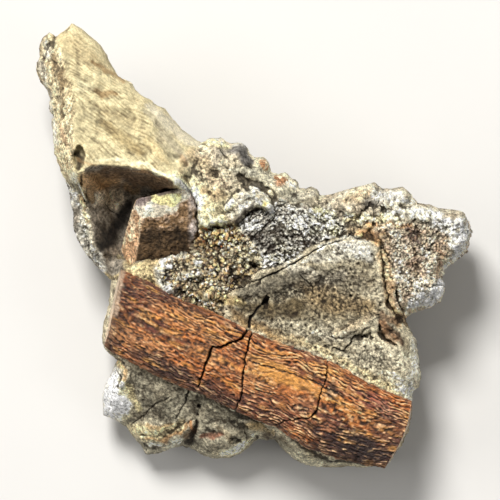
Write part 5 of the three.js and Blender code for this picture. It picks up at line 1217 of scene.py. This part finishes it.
class Finish:
    """A node material under construction: add() makes a node and links or sets its inputs."""

    def __init__(self, name):
        """A new node material and its shader node."""
        self.material = bpy.data.materials.new(name)
        self.material.use_nodes = True
        self.tree = self.material.node_tree
        self.shader = self.tree.nodes["Principled BSDF"]

    def set(self, node, **inputs):
        """Links or sets inputs by name, or by number where the keyword is _ and a number."""
        for key, value in inputs.items():
            socket = node.inputs[int(key[1:]) if key[0] == "_" else key.replace("_", " ")]
            if isinstance(value, bpy.types.NodeSocket):
                self.tree.links.new(value, socket)
            else:
                socket.default_value = value
        return node

    def add(self, kind, settings=None, **inputs):
        """A new node of a kind, with its settings and its inputs."""
        node = self.tree.nodes.new("ShaderNode" + kind)
        for key, value in (settings or {}).items():
            setattr(node, key, value)
        return self.set(node, **inputs)

    def attribute(self, name, output="Fac"):
        """What a piece keeps at its points under a name."""
        return self.add("Attribute", dict(attribute_name=name)).outputs[output]

    def place(self, stretch=(1, 1, 1), uv=False):
        """Coordinates of the object or of its UV map, times a number along each axis."""
        coordinates = self.add("TexCoord").outputs["UV" if uv else "Object"]
        return self.add("Mapping", Vector=coordinates, Scale=stretch).outputs[0]

    def noise(self, size, detail=4, rough=0.6, place=None, distortion=0.0):
        """Noise in 0..1 with forms of a size in metres."""
        node = self.add("TexNoise", Vector=place or self.place(), Scale=1 / size, Detail=detail,
                        Roughness=rough, Distortion=distortion)
        return node.outputs["Fac"]

    def ramp(self, value, low, high, out_low=0.0, out_high=1.0):
        """A value carried from low..high to out_low..out_high along an S-curve."""
        node = self.add("MapRange", dict(interpolation_type="SMOOTHSTEP"), Value=value,
                        From_Min=low, From_Max=high, To_Min=out_low, To_Max=out_high)
        return node.outputs["Result"]

    def maths(self, operation, a, b=0.0, c=0.0):
        """One operation on up to three values, such as their product."""
        return self.add("Math", dict(operation=operation), _0=a, _1=b, _2=c).outputs[0]

    def blend(self, share, a, b, mode="MIX"):
        """Colour a moved by a share towards b, or towards a times b."""
        node = self.add("Mix", dict(data_type="RGBA", blend_type=mode), _0=share, _6=a, _7=b)
        return node.outputs[2]

    def dimmed(self, colour, light):
        """A colour times a light value."""
        grey = self.add("CombineColor", Red=light, Green=light, Blue=light).outputs[0]
        return self.blend(1.0, colour, grey, "MULTIPLY")

    def bump(self, height, distance, strength=1.0, **normal):
        """The surface normal tilted by the slope of a height times a distance in metres."""
        node = self.add("Bump", Height=height, Distance=distance, Strength=strength, **normal)
        return node.outputs["Normal"]


def rock_finish(name, speck, cracked):
    """Weathered stone: painted tint, pepper specks, fine sandy grain with painted shade and highlight, and
    hairline cracks.
    """
    f = Finish(name)
    sand, cloud = f.noise(0.0004, 5, 0.75), f.noise(0.0011, 4, 0.6)
    grit = f.attribute("grit") if cracked else 1.0
    # The sandy grain that bumps the surface also darkens its hollows and lightens its crests: painted shade
    # and highlight.
    light = f.maths("MULTIPLY_ADD", f.ramp(sand, 0.32, 0.68, -0.68, 0.8), grit, 1.0)
    light = f.maths("MULTIPLY", light, f.ramp(cloud, 0.3, 0.7, 0.9, 1.1))
    colour = f.dimmed(f.attribute("tint", "Color"), light)
    specks = f.maths("MULTIPLY", f.ramp(f.noise(0.0005, 3, 0.7), 0.6, 0.68), grit)
    colour = f.blend(f.maths("MULTIPLY", specks, speck), colour, (0.05, 0.036, 0.024, 1))
    normal = f.bump(f.maths("MULTIPLY", sand, grit), 0.00042)
    if cracked:
        away = f.maths("ABSOLUTE", f.attribute("crack_side"))
        crack = f.ramp(f.maths("SUBTRACT", f.attribute("crack_half"), away), 0.0, 0.06)
        colour = f.blend(f.maths("MULTIPLY", crack, 0.95), colour, (0.012, 0.009, 0.007, 1))
        normal = f.bump(f.maths("MULTIPLY", crack, -1.0), 0.0003, Normal=normal)
    f.set(f.shader, Base_Color=colour, Roughness=f.ramp(cloud, 0.3, 0.7, 0.8, 0.96), Normal=normal)
    f.shader.inputs["Specular IOR Level"].default_value = 0.3
    return f.material


def bone_finish():
    """Fibrous fossil bone: painted tint, fine fibres drawn out along the shaft with painted shade and
    highlight, waxy crests.
    """
    f = Finish("fibrous_fossil_bone")
    fibres = f.noise(0.00026, 4, 0.7, f.place((0.45, 1, 1), uv=True), 0.4)
    cloud = f.noise(0.0009, 4, 0.6)
    # The fibres that bump the surface also darken their furrows and lighten their crests: painted shade and
    # highlight.
    light = f.maths("MULTIPLY", f.ramp(fibres, 0.32, 0.68, 0.7, 1.35),
                    f.ramp(cloud, 0.3, 0.7, 0.86, 1.14))
    colour = f.dimmed(f.attribute("tint", "Color"), light)
    normal = f.bump(f.noise(0.00035, 4, 0.6), 0.00014, 0.8, Normal=f.bump(fibres, 0.0003))
    f.set(f.shader, Base_Color=colour, Roughness=f.ramp(fibres, 0.3, 0.7, 0.6, 0.3), Normal=normal)
    f.shader.inputs["Specular IOR Level"].default_value = 0.5
    return f.material


def floor_finish():
    """Plain pale board with the faintest unevenness."""
    f = Finish("pale_board")
    cloud = f.noise(0.02, 3, 0.5)
    colour = f.blend(cloud, (0.66, 0.65, 0.63, 1), (0.7, 0.69, 0.67, 1))
    f.set(f.shader, Base_Color=colour, Roughness=f.ramp(cloud, 0.3, 0.7, 0.85, 0.95))
    return f.material


# ---- The rock --------------------


def crust_depth(x, y, edge):
    """Depth inside a crust: its own wavering edge, the rock's outline and the bone cut it short."""
    wx = x + 0.35 * ripple(x, y, 1.2, 3, 111)
    wy = y + 0.35 * ripple(x, y, 1.2, 6, 112)
    rock, bone = depth_inside(x, y, OUTLINE), depth_inside(x, y, BONE_OUTLINE)
    return np.minimum.reduce([depth_inside(wx, wy, edge), rock - 0.5, 0.8 - bone])


def new_rock(name, rows, closing, faces, stands_for=None):
    """A piece of rock from rows of what dressed() gives, and the one point that closes it below."""
    points, colour, side, half, grit = rows
    values = dict(crack_side=np.append(side, FAR_FROM_CRACK), crack_half=np.append(half, 0),
                  grit=np.append(grit, 1))
    new_piece(name, np.vstack([points, closing]), faces, ROCK,
              np.vstack([colour, BURIED_TINT]), values, stands_for=stands_for)


def rings_below(edge):
    """Rings of points from the sheet's border down the wall and under the body.

    The wall is drawn in by the lumps. The rings under it follow a quarter arc to the flat
    underside, pass into a smoothed outline, and are kept half a millimetre inside the rock's own.
    """
    rim = rim_height(edge[:, 0], edge[:, 1])
    spoke = edge[:, :2] - FOOT_MIDDLE
    length = np.linalg.norm(spoke, axis=1)
    rings = []
    for share in np.linspace(0, 1, WALL_ROWS + 1)[1:]:
        level = mix(edge[:, 2], rim, share)
        lumps = np.abs(rock_lumps(edge[:, 0] * 1.4, edge[:, 1] * 1.4, level * 1.4))
        inward = (0.2 + 1.3 * lumps) * min(1, share / 0.3, (1 - share) / 0.35)
        rings.append(np.column_stack([FOOT_MIDDLE + spoke * (1 - inward / length)[:, None], level]))

    smooth = edge[:, :2].copy()
    for _ in range(FOOT_PASSES):
        smooth = smooth / 2 + (np.roll(smooth, 1, 0) + np.roll(smooth, -1, 0)) / 4
    smooth = smooth - FOOT_MIDDLE
    within = length / np.linalg.norm(smooth, axis=1)
    smooth = FOOT_MIDDLE + smooth * np.minimum(1, within)[:, None]
    for share in np.linspace(0, 1, UNDER_ROWS + 1)[1:]:
        base = mix(edge[:, :2], smooth, min(1, 1.6 * share)) - FOOT_MIDDLE
        reach = np.linalg.norm(base, axis=1)
        scale = mix(1, np.minimum(FOOT_SHARE * reach, FOOT_REACH) / reach, share)
        place = base * scale[:, None]
        for _ in range(4):
            inside = depth_inside(*(place + FOOT_MIDDLE).T, OUTLINE)
            short = np.clip(0.5 - inside, 0, None) * min(1, 4 * share)
            place = place * (1 - short / np.linalg.norm(place, axis=1))[:, None]
        place = place + FOOT_MIDDLE
        level = rim * (1 - math.sin(share * math.pi / 2))
        level = level + min(1, 4 * (1 - share)) * rock_lumps(*place.T, level)
        rings.append(np.column_stack([place, np.maximum(0, level) * (share < 1)]))
    return np.array(rings)


def make_core():
    """The rock as one closed skin: upper sheet, rings down the wall and under it, closing fan.

    Where a crust lies on the sheet, the sheet is sunk a little.
    """
    plan = sheet_plan(SHEET_CELLS)
    x, y = plan[..., 0], plan[..., 1]
    z, shares = upper_height(x, y)
    sheet = np.dstack([x, y, z])
    index = np.arange(x.size).reshape(x.shape)
    border = np.concatenate([index[0, :-1], index[:-1, -1], index[-1, :0:-1], index[:0:-1, 0]])
    edge = sheet.reshape(-1, 3)[border]
    wall = rings_below(edge)

    # The rings' points are numbered after the sheet's; the first ring is the sheet's own border.
    start, middle = x.size, x.size + wall[..., 0].size
    ring = np.vstack([border, np.arange(start, middle).reshape(len(wall), -1)])
    after = np.roll(ring, -1, axis=1)
    skirt = np.stack([a.ravel() for a in (ring[:-1], after[:-1], after[1:], ring[1:])], 1)
    quads = np.vstack([grid_faces(*x.shape), skirt])
    fan = np.stack([ring[-1], after[-1], np.full(len(border), middle)], 1)

    closing = [[*FOOT_MIDDLE, 0]]
    normals = vertex_normals(np.vstack([sheet.reshape(-1, 3), wall.reshape(-1, 3), closing]), quads)
    below = edge[None, :, 2] - wall[..., 2]
    carried = smooth_step(7, 1.5, below + 5 * layered_noise(wall, 2.6, 4, 99, 0.65))
    carried = carried * smooth_step(10, 7, below)
    wall_shares = {name: share.ravel()[border][None] * carried + (name == "wall") * (1 - carried)
                   for name, share in shares.items()}
    top = dressed(sheet, normals[:start].reshape(sheet.shape), shares, SHEET_STEP)
    low = dressed(wall, normals[start:middle].reshape(wall.shape), wall_shares, SHEET_STEP, below)
    covered = np.max([crust_depth(x, y, outline) for outline in CRUSTS.values()], 0)
    top[0][..., 2] -= 0.5 * smooth_step(0.12, 0.8, covered)
    rows = [np.vstack([a.reshape(start, -1), b.reshape(middle - start, -1)]) for a, b in zip(top, low)]
    new_rock("rock_matrix", rows, closing, [quads, fan], "matrix")


def make_crust(name, edge):
    """A finely modelled crust: the same surface on a square grid, dipped and closed underneath."""
    low, high = (np.clip(end(edge, 0), -CRUST_LIMIT, CRUST_LIMIT) for end in (np.min, np.max))
    x, y = np.meshgrid(*(np.arange(a, b, CRUST_STEP) for a, b in zip(low, high)))
    depth = crust_depth(x, y, edge)
    z, shares = upper_height(x, y)
    points = np.dstack([x, y, z])
    faces = grid_faces(*x.shape)[:, ::-1]
    normals = vertex_normals(points.reshape(-1, 3), faces).reshape(points.shape)
    rows = dressed(points, normals, shares, CRUST_STEP)

    # Outside its edge the crust dips steeply, and it is cut off where the dip is complete.
    rows[0][..., 2] -= 1.3 * smooth_step(0.02, -0.42, depth)
    faces = faces[(depth.ravel()[faces] > -0.45).all(1)]
    used, faces = np.unique(faces, return_inverse=True)
    faces = faces.reshape(-1, 4)
    rows = [a.reshape(depth.size, -1)[used] for a in rows]

    # A line that only one face has is open; a fan joins all open lines to one point inside.
    lines = np.concatenate([faces[:, [n, (n + 1) % 4]] for n in range(4)])
    key = lines.min(1) * len(used) + lines.max(1)
    _, first, count = np.unique(key, return_index=True, return_counts=True)
    open_lines = lines[first[count == 1]]
    fan = np.column_stack([open_lines[:, ::-1], np.full(len(open_lines), len(used))])
    root = rows[0].mean(0) - [0, 0, CRUST_ROOT]
    if name == "upper_body_crust":
        root[:2] = BENT_CRUST_ROOT
    new_rock(name, rows, [root], [faces, fan])


# ---- The long bone --------------------


def bone_skin(shares, turns):
    """The bone's skin before its fibres: rounded sections between its two long edges.

    Across: signed power 0.75 of the cosine times the half-width. Up: signed power 0.85 of the
    sine times the arch above, or the depth below, the line between the edges.
    """
    upper, lower = even_points(BONE_UPPER_EDGE, shares), even_points(BONE_LOWER_EDGE, shares)
    rise_u, rise_l = bed_height(*upper.T), bed_height(*lower.T)
    middle, half = (upper + lower) / 2, (upper - lower) / 2
    c, s = np.cos(turns), np.sin(turns)
    across = (np.sign(c) * np.abs(c) ** 0.75)[None, :]
    up = (np.sign(s) * np.abs(s) ** 0.85)[None, :]
    t = shares[:, None]
    taper = 1 - 0.25 * smooth_step(0.72, 1, t) - 0.12 * smooth_step(0.2, 0, t)
    rise = up * np.where(up > 0, BONE_ARCH * taper, BONE_DEPTH)
    bulge = BONE_END_BULGE * t**6 * (1 - across**2)
    tilt = up * (0.25 * smooth_step(0.01, 0, t) - 0.25 * smooth_step(0.99, 1, t))
    x = middle[:, :1] + half[:, :1] * across + 0.92 * bulge + tilt
    y = middle[:, 1:] + half[:, 1:] * across + 0 * t
    z = (rise_u + rise_l)[:, None] / 2 + (rise_u - rise_l)[:, None] / 2 * across + rise
    return np.dstack([x, y, z]), across + 0 * t, up + 0 * t


def bone_relief(x, y, along, across):
    """Furrows, fibres, long pits and cracks of the bone in millimetres, and parts for the colour.

    along and across are lengths on the skin. Furrows run where stretched noises cross zero, so
    they join into a net drawn out along the shaft. Crests and slits follow waves across it and
    break off along it. Where the back is dotted, pits take their place.
    """
    flow = across + 0.5 * ripple(along, across, (7, 3), 0, 131)
    flow = flow + 0.2 * ripple(along, across, (1.6, 1.2), 0, 132)
    calm = in_patch(x, y, BONE_CALM)
    rough = 1 - 0.5 * calm
    dotted = smooth_step(0.5, -0.3, ripple(along, across, (6, 3), 0.5, 137) + 0.12 * (x + 4))
    swell = ripple(along, flow, (4, 1.4), 0.5, 136) + 0.5 * ripple(along, flow, (2.6, 0.8), 0.5, 135)
    fibre = 0.55 * ripple(along, flow, (1.15, 0.3), 0.5, 133)
    fibre = fibre + 0.45 * ripple(along, flow, (0.5, 0.2), 0.5, 134)
    net = np.clip(np.abs(ripple(along, flow, (1.3, 0.36), 0.5, 139)) / 0.24, 0, 1)
    net = (1 - net**0.6) * mix(1, 0.5, dotted)
    phase = flow / FIBRE_SPACING + 0.5 * ripple(along, across, (2.4, 0.9), 0, 129)
    phase = phase + 0.3 * ripple(along, across, (0.7, 0.4), 0, 130)
    wave = np.cos(2 * math.pi * phase)
    crest = smooth_step(-0.08, 0.3, noise(along / 0.8, np.round(phase) * 3.7, 0.5, 128))
    crest = crest * smooth_step(0.2, 0.9, wave) * mix(1, 0.4, dotted)
    slit = smooth_step(-0.3, 0.15, noise(along / 0.65, np.floor(phase) * 5.3, 0.5, 127))
    slit = slit * smooth_step(-0.15, -0.8, wave) * mix(1, 0.55, dotted)
    dome, _, value = packed_grains(np.stack([along / 1.9, flow, 0 * flow], -1), 0.37, 138)
    pit = np.clip(1 - (1 - dome) / (0.25 + 0.45 * value), 0, 1) * rough
    pit = pit * (value > mix(0.6, 0.15, dotted))
    relief = 0.14 * swell + (0.2 - 0.08 * calm) * fibre - 0.1 * rough * net - 0.2 * pit
    relief = relief + (1 - 0.6 * calm) * (0.12 * crest - 0.2 * slit)
    crack, deep = np.zeros((2, *x.shape))
    jag = 0.1 * ripple(x, y, 0.35, 0, 107) + 0.16 * ripple(x, y, 1.1, 0, 108)
    for path in BONE_CRACKS:
        away, (width, depth) = near_path(x, y, path)
        share = np.clip(1.3 - np.abs(away + jag) / (0.5 * width), 0, 1)
        crack = np.maximum(crack, share)
        deep = np.maximum(deep, share * depth)
    dark = np.maximum.reduce([0.7 * net**3, pit, slit]) * rough
    return relief - deep, dict(fibre=fibre * rough, dark=dark, crest=crest * rough, crack=crack)


def bone_colour(x, y, along, across, up, parts, hollowness):
    """Linear colour of the bone: washes of orange, gold and red-brown, dark furrows and lit crests as
    painted shade and highlight, painted shade along its long edges.
    """
    patch = ripple(along, across, (5.5, 1.1), 0.5, 121)
    patch = patch + 0.6 * ripple(along, across, (1.6, 0.5), 0.5, 122)
    orange, rust = light_value((188, 112, 54)), light_value((106, 56, 38))
    colour = mix(orange, rust, smooth_step(-0.4, 0.6, patch)[..., None])
    wx, wy = x + 0.7 * ripple(x, y, 1.6, 2, 123), y + 0.5 * ripple(x, y, 1.2, 8, 124)
    for wash in BONE_WASHES:
        colour = tinted(colour, (wash[6], wash[5] * in_patch(wx, wy, wash)))
    gold = smooth_step(0.1, 0.6, ripple(along, across, (2.4, 0.6), 0.5, 125)) * smooth_step(0, 0.5, up)
    # After the gold: paler on the fibres' crests, darker in their furrows, darkest in the net of furrows,
    # the pits and the slits, as painted highlight and painted shade.
    colour = tinted(
        colour,
        ((232, 168, 84), 0.45 * gold),
        ((246, 206, 152), 0.4 * smooth_step(0.2, 0.46, parts["fibre"])),
        ((42, 20, 14), 0.6 * smooth_step(-0.08, -0.38, parts["fibre"])),
        ((40, 17, 12), 0.9 * parts["dark"]))
    # Painted highlight on the crests, weaker where the colour is dark, then painted shade in hollows and
    # painted highlight on rises.
    lit = np.clip(colour.mean(-1) / 0.07, 0.3, 1)
    colour = tinted(colour, ((246, 196, 146), 0.64 * lit * parts["crest"]))
    colour = shaded(colour, np.clip(hollowness / 0.12, -1, 1), 0.34, 1.4)
    # Darker along both long edges, where the back turns down: painted shade.
    side = smooth_step(0.84, 1.0, np.abs(across) / np.abs(across).max()) * (up > -0.2)
    torn = along + 0.4 * ripple(across, along, (1.2, 1), 0.5, 126)
    torn = torn + 0.2 * ripple(across, along, (0.4, 1), 0.5, 127)
    rim = smooth_step(0.9, 0.4, torn) * mix(0.1, 0.8, smooth_step(-10.4, -9, y))
    colour = tinted(
        colour,
        ((70, 46, 34), 0.4 * side),
        ((198, 172, 146), rim),
        ((16, 11, 9), smooth_step(0.25, 0.7, parts["crack"])))
    return np.clip(colour, *BONE_RANGE)


def make_bone():
    """The long bone: its skin with fibres, pits and cracks, and two porous broken ends."""
    shares = np.linspace(0, 1, BONE_STEPS)
    turns = np.concatenate([np.linspace(0, math.pi, BONE_TOP_SIDES, endpoint=False),
                            np.linspace(math.pi, 2 * math.pi, BONE_LOW_SIDES, endpoint=False)])
    skin, side, up = bone_skin(shares, turns)
    step, round_step = (np.linalg.norm(np.diff(skin, axis=n), axis=2).mean(1 - n) for n in (0, 1))
    along = np.concatenate([[0], np.cumsum(step)])[:, None] + 0 * side
    across = np.concatenate([[0], np.cumsum(round_step)])[None, :] + 0 * side
    relief, parts = bone_relief(skin[..., 0], skin[..., 1], along, across)
    hollowness = spread(relief, 12) - relief
    colour = bone_colour(skin[..., 0], skin[..., 1], along, side * 5.5, up, parts, hollowness)
    faces = grid_faces(len(shares), len(turns), closed=True)[:, ::-1]
    normals = vertex_normals(skin.reshape(-1, 3), faces)
    on_back = smooth_step(-0.5, 0.05, up).ravel()
    points = skin.reshape(-1, 3) + normals * (relief.ravel() * on_back)[:, None]

    # Broken ends: rings drawn in towards a middle point, crumbled, cream to pink with dark pores.
    points, tints, quads, fans = [points], [colour.reshape(-1, 3)], [faces], []
    uv = [np.column_stack([along.ravel(), across.ravel()])]
    size, total = len(turns), side.size
    for first, outward in ((0, -1), (total - size, 1)):
        last = np.arange(first, first + size)
        edge = points[0][last]
        for draw in BONE_END_DRAWS:
            closing = draw == 1
            ring = mix(edge, edge.mean(0), draw)[:1 if closing else size]
            crumble = layered_noise(ring, 0.9, 4, 141)
            pore = pit_holes(ring, 0.6, 145, 0.6)
            push = outward * min(1, draw * 6) * (0.25 * crumble - 0.2 * pore)
            ring = ring + push[:, None] * BONE_END_WAY
            tone = light_value((216, 192, 164)) * (0.85 + 0.35 * crumble)[:, None]
            # The pores are darkened as painted shade.
            tone = tinted(tone, ((110, 76, 58), 0.8 * pore))
            tints.append(mix(tints[0][first:first + len(ring)], tone, min(1, draw * 9)))
            uv.append(ring[:, 1:])
            now = np.arange(total, total + len(ring)) + np.zeros(size, int) * closing
            total += len(ring)
            points.append(ring)
            loop = np.stack([last, np.roll(last, -1), np.roll(now, -1), now], 1)
            loop = loop[:, :3] if closing else loop
            (fans if closing else quads).append(loop if outward < 0 else loop[:, ::-1])
            last = now
    new_piece("cracked_long_bone", np.vstack(points), [np.vstack(quads), *fans], bone_finish(),
              np.vstack(tints), (), np.vstack(uv), "long_bone")


# ---- The small block, chips and grains --------------------


def ball_grid(rows, columns):
    """Directions over a ball by latitude and longitude, and the faces of that closed grid."""
    tilt = np.linspace(0, math.pi, rows + 2)[1:-1, None]
    turn = np.linspace(0, 2 * math.pi, columns, endpoint=False)[None, :]
    ring = np.dstack([np.sin(tilt) * np.cos(turn), np.sin(tilt) * np.sin(turn),
                      np.cos(tilt) + 0 * turn]).reshape(-1, 3)
    directions = np.vstack([ring, [[0, 0, 1], [0, 0, -1]]])
    first, last = np.arange(columns), np.arange(columns) + (rows - 1) * columns
    top = np.stack([np.roll(first, -1), np.full(columns, len(ring)), first], 1)
    bottom = np.stack([last, np.full(columns, len(ring) + 1), np.roll(last, -1)], 1)
    return directions, [grid_faces(rows, columns, closed=True), top, bottom]


def flat_faced_reach(directions, middle, faces, sharpness):
    """Distance from the middle to a solid of flat faces along each direction.

    A soft smallest value over the face planes: the nearer plane counts, and a lower sharpness
    wears the edges rounder.
    """
    total = 0.0
    for corners in faces:
        a, b, c = np.array(corners, float)
        normal = np.cross(b - a, c - a)
        normal /= np.linalg.norm(normal)
        away = normal @ (a - middle)
        total = total + np.clip(directions @ normal / away, 0, None) ** sharpness
    return total ** (-1 / sharpness)


def make_block():
    """The small block: flat worn faces, cream and lilac top, crumbly brown front, orange left."""
    directions, faces = ball_grid(220, 360)
    reach = flat_faced_reach(directions, BLOCK_MIDDLE, BLOCK_FACES, 60)
    points = BLOCK_MIDDLE + directions * reach[:, None]
    crags = layered_noise(points, 1.4, 5, 151, 0.6)
    lumps = billows(points, 1.1, 3, 152)
    pit = pit_holes(points, 0.6, 153, 0.5)
    x, y, z = points.T
    wx, wy = x + 0.3 * crags, y + 0.3 * noise(*points.T / 0.8, 155)
    top = smooth_step(-0.15, 0.15, depth_inside(wx, wy, BLOCK_TOP)) * (z > 18)
    left = smooth_step(-14.9, -15.3, wx + 0.28 * (20 - z)) * (1 - top)
    relief = mix(0.36, 0.07, top) * (crags + 0.9 * (lumps - 0.5)) - mix(0.2, 0.06, top) * pit
    points = points + directions * relief[:, None]

    band = smooth_step(18.5, 19.3, z + 0.5 * crags)
    blotch = smooth_step(-0.2, 0.3, layered_noise(points, 1.2, 3, 154))
    grey = smooth_step(0.85, 1.1, wy + 0.27 * (-10.1 - wx) - 6.3) * smooth_step(-10.4, -11, wx)
    yellow = smooth_step(-0.1, 0.15, depth_inside(wx, wy, BLOCK_PATCH))
    right = smooth_step(-9.3, -8.5, wx) * smooth_step(16.5, 18.5, z)
    # Painted shade in the pits and in the creases between lumps, weaker on the top.
    dark = np.clip(pit + 0.8 * smooth_step(0.3, 0.08, lumps), 0, 1) * (1 - 0.6 * top)
    colour = mix(light_value((94, 74, 52)), light_value((64, 50, 34)), blotch[:, None])
    colour = tinted(
        colour,
        ((160, 128, 92), 0.85 * band),
        ((226, 196, 166), 0.7 * band * smooth_step(0.6, 0.9, lumps)),
        ((192, 154, 118), left))
    colour = tinted(
        colour * (1 + 0.7 * left * smooth_step(3, -0.5, wy))[:, None],
        # cream on the left face's raised crags: its own cream and painted highlight
        ((240, 216, 180), 0.85 * left * smooth_step(-0.1, 0.25, crags)),
        ((240, 228, 206), top),
        ((104, 88, 80), 0.9 * top * grey),
        ((150, 134, 130), 0.8 * top * smooth_step(-14.4, -15, wx)),
        ((250, 240, 214), 0.9 * top * smooth_step(5.6, 5.0, wy)),
        ((252, 240, 176), top * yellow),
        # lilac-white on the right shoulder's raised crags: its own lilac and painted highlight
        ((214, 204, 200), 0.75 * right * smooth_step(-0.3, 0.2, crags)),
        ((44, 33, 24), 0.8 * dark))
    # Lighter on raised crags and darker in the hollows between them: painted light and shade.
    colour = np.clip(colour * (1 + 0.8 * crags)[:, None], *SMALL_RANGE)
    new_piece("small_bone_block", points, faces, PLAIN_ROCK,
              colour, stands_for="bone_fragment")


def make_chip(name, chip, seed, node):
    """A rust-coloured chip: a ball stretched to its reach and broken by layered noise."""
    directions, faces = ball_grid(80, 120)
    middle, reach = chip
    points = middle + directions * reach
    crags = layered_noise(points, 0.7, 4, seed, 0.65)
    points = points + directions * (0.3 * crags - 0.02)[:, None]
    colour = mix(light_value((216, 184, 146)), light_value((172, 126, 90)),
                 smooth_step(-0.3, 0.3, crags)[:, None])
    cream = smooth_step(0.1, 0.4, noise(*points.T / 0.6, seed))
    colour = np.clip(tinted(colour, ((234, 218, 184), cream)), *SMALL_RANGE)
    new_piece(name, points, faces, PLAIN_ROCK, colour, stands_for=node)


def make_grains():
    """Loose angular grains half sunk in the granular ground: jittered cubes turned every way."""
    rng = np.random.default_rng(11)
    spots = rng.uniform((-13.5, -10), (2, 3.6), (9000, 2))
    x, y = spots.T
    clump = ripple(x, y, 1.1, 0, 161) + 0.5 * ripple(x, y, 0.5, 0, 162)
    depth = depth_inside(x, y, FIELDS["granular ground"]["edge"])
    clear = depth_inside(x, y, BONE_OUTLINE) < -0.5
    spots = spots[(depth + 0.5 * clump > 0.2) & (clump > 0) & clear][:GRAINS]
    height, _ = upper_height(*spots.T)
    count = len(spots)
    corners = np.array(list(np.ndindex(2, 2, 2))) * 1.2 - 0.6
    size = rng.uniform(0.1, 0.28, (count, 1, 1)) * rng.uniform(0.6, 1.3, (count, 1, 3))
    shape = corners * rng.uniform(0.6, 1.25, (count, 8, 3)) * size
    turn = np.linalg.qr(rng.normal(size=(count, 3, 3)))[0]
    turn *= np.sign(np.linalg.det(turn))[:, None, None]
    shape = np.einsum("nij,nkj->nki", turn, shape)
    points = (shape + np.column_stack([spots, height])[:, None]).reshape(-1, 3)
    faces = (CUBE_SIDES + 8 * np.arange(count)[:, None, None]).reshape(-1, 4)
    warm = smooth_step(-1, 2, spots[:, 1] - 0.3 * (spots[:, 0] + 4))
    pick = mix(rng.uniform(2, 7, count), rng.uniform(0, 5, count), warm).astype(int)
    tone = light_value(np.array(GRAIN_TONES)[pick]) * rng.uniform(0.7, 1.1, (count, 1))
    new_piece("ochre_grains", points, [faces], PLAIN_ROCK, np.repeat(tone, 8, 0),
              flat=True)


# ---- Floor, lights and camera --------------------


def make_floor():
    """A wide flat pale board at the level of the underside."""
    mesh = bpy.data.meshes.new("floor")
    corners = [(1.5 * i, 1.5 * j, 0) for i, j in ((-1, -1), (1, -1), (1, 1), (-1, 1))]
    mesh.from_pydata(corners, [], [(0, 1, 2, 3)])
    mesh.materials.append(floor_finish())
    place_object("floor", mesh)


def make_light(name, place, size, energy, colour):
    """A square soft light aimed at the middle of the object."""
    lamp = bpy.data.lights.new(name, "AREA")
    lamp.shape = "SQUARE"
    lamp.size = size
    lamp.energy = energy
    lamp.color = colour
    light = place_object(name, lamp)
    light.location = place
    aim = Vector((0, 0, FOCUS_HEIGHT)) - Vector(place)
    light.rotation_euler = aim.to_track_quat("-Z", "Y").to_euler()


def make_camera():
    """A long lens straight above: the picture has its width at the height of the focus."""
    picture_width, distance = 0.06915, 0.8
    lens = bpy.data.cameras.new("camera")
    lens.sensor_width = 36
    lens.lens = lens.sensor_width * (distance - FOCUS_HEIGHT) / picture_width
    lens.clip_start, lens.clip_end = 0.05, 5
    camera = place_object("camera", lens)
    camera.location = (-0.00055, -0.00055, distance)
    bpy.context.scene.camera = camera


def make_lights():
    """Soft key light from behind the arm, weak ones from the left and the right front, a pale sky."""
    make_light("key", (-0.17, 0.46, 0.74), 0.26, 10.0, (1.0, 0.985, 0.96))
    make_light("left", (-0.7, 0.05, 0.45), 0.5, 2.0, (1.0, 0.99, 0.97))
    make_light("right", (0.55, -0.28, 0.55), 0.4, 0.9, (1.0, 0.99, 0.97))
    scene = bpy.context.scene
    scene.world = bpy.data.worlds.new("pale_sky")
    scene.world.use_nodes = True
    sky = scene.world.node_tree.nodes["Background"]
    sky.inputs["Color"].default_value = (1, 0.99, 0.97, 1)
    sky.inputs["Strength"].default_value = 0.2
    scene.view_settings.view_transform = "Standard"
    scene.view_settings.look = "None"


make_camera()
make_lights()
make_floor()
ROCK = rock_finish("weathered_rock", 0.35, cracked=True)
PLAIN_ROCK = rock_finish("plain_rock", 0.3, cracked=False)
make_core()
for name, edge in CRUSTS.items():
    make_crust(name, edge)
make_bone()
make_block()
make_chip("rust_chip_upper", UPPER_CHIP, 171, "bone_chip_upper")
make_chip("rust_chip_lower", LOWER_CHIP, 175, "bone_chip_lower")
make_grains()
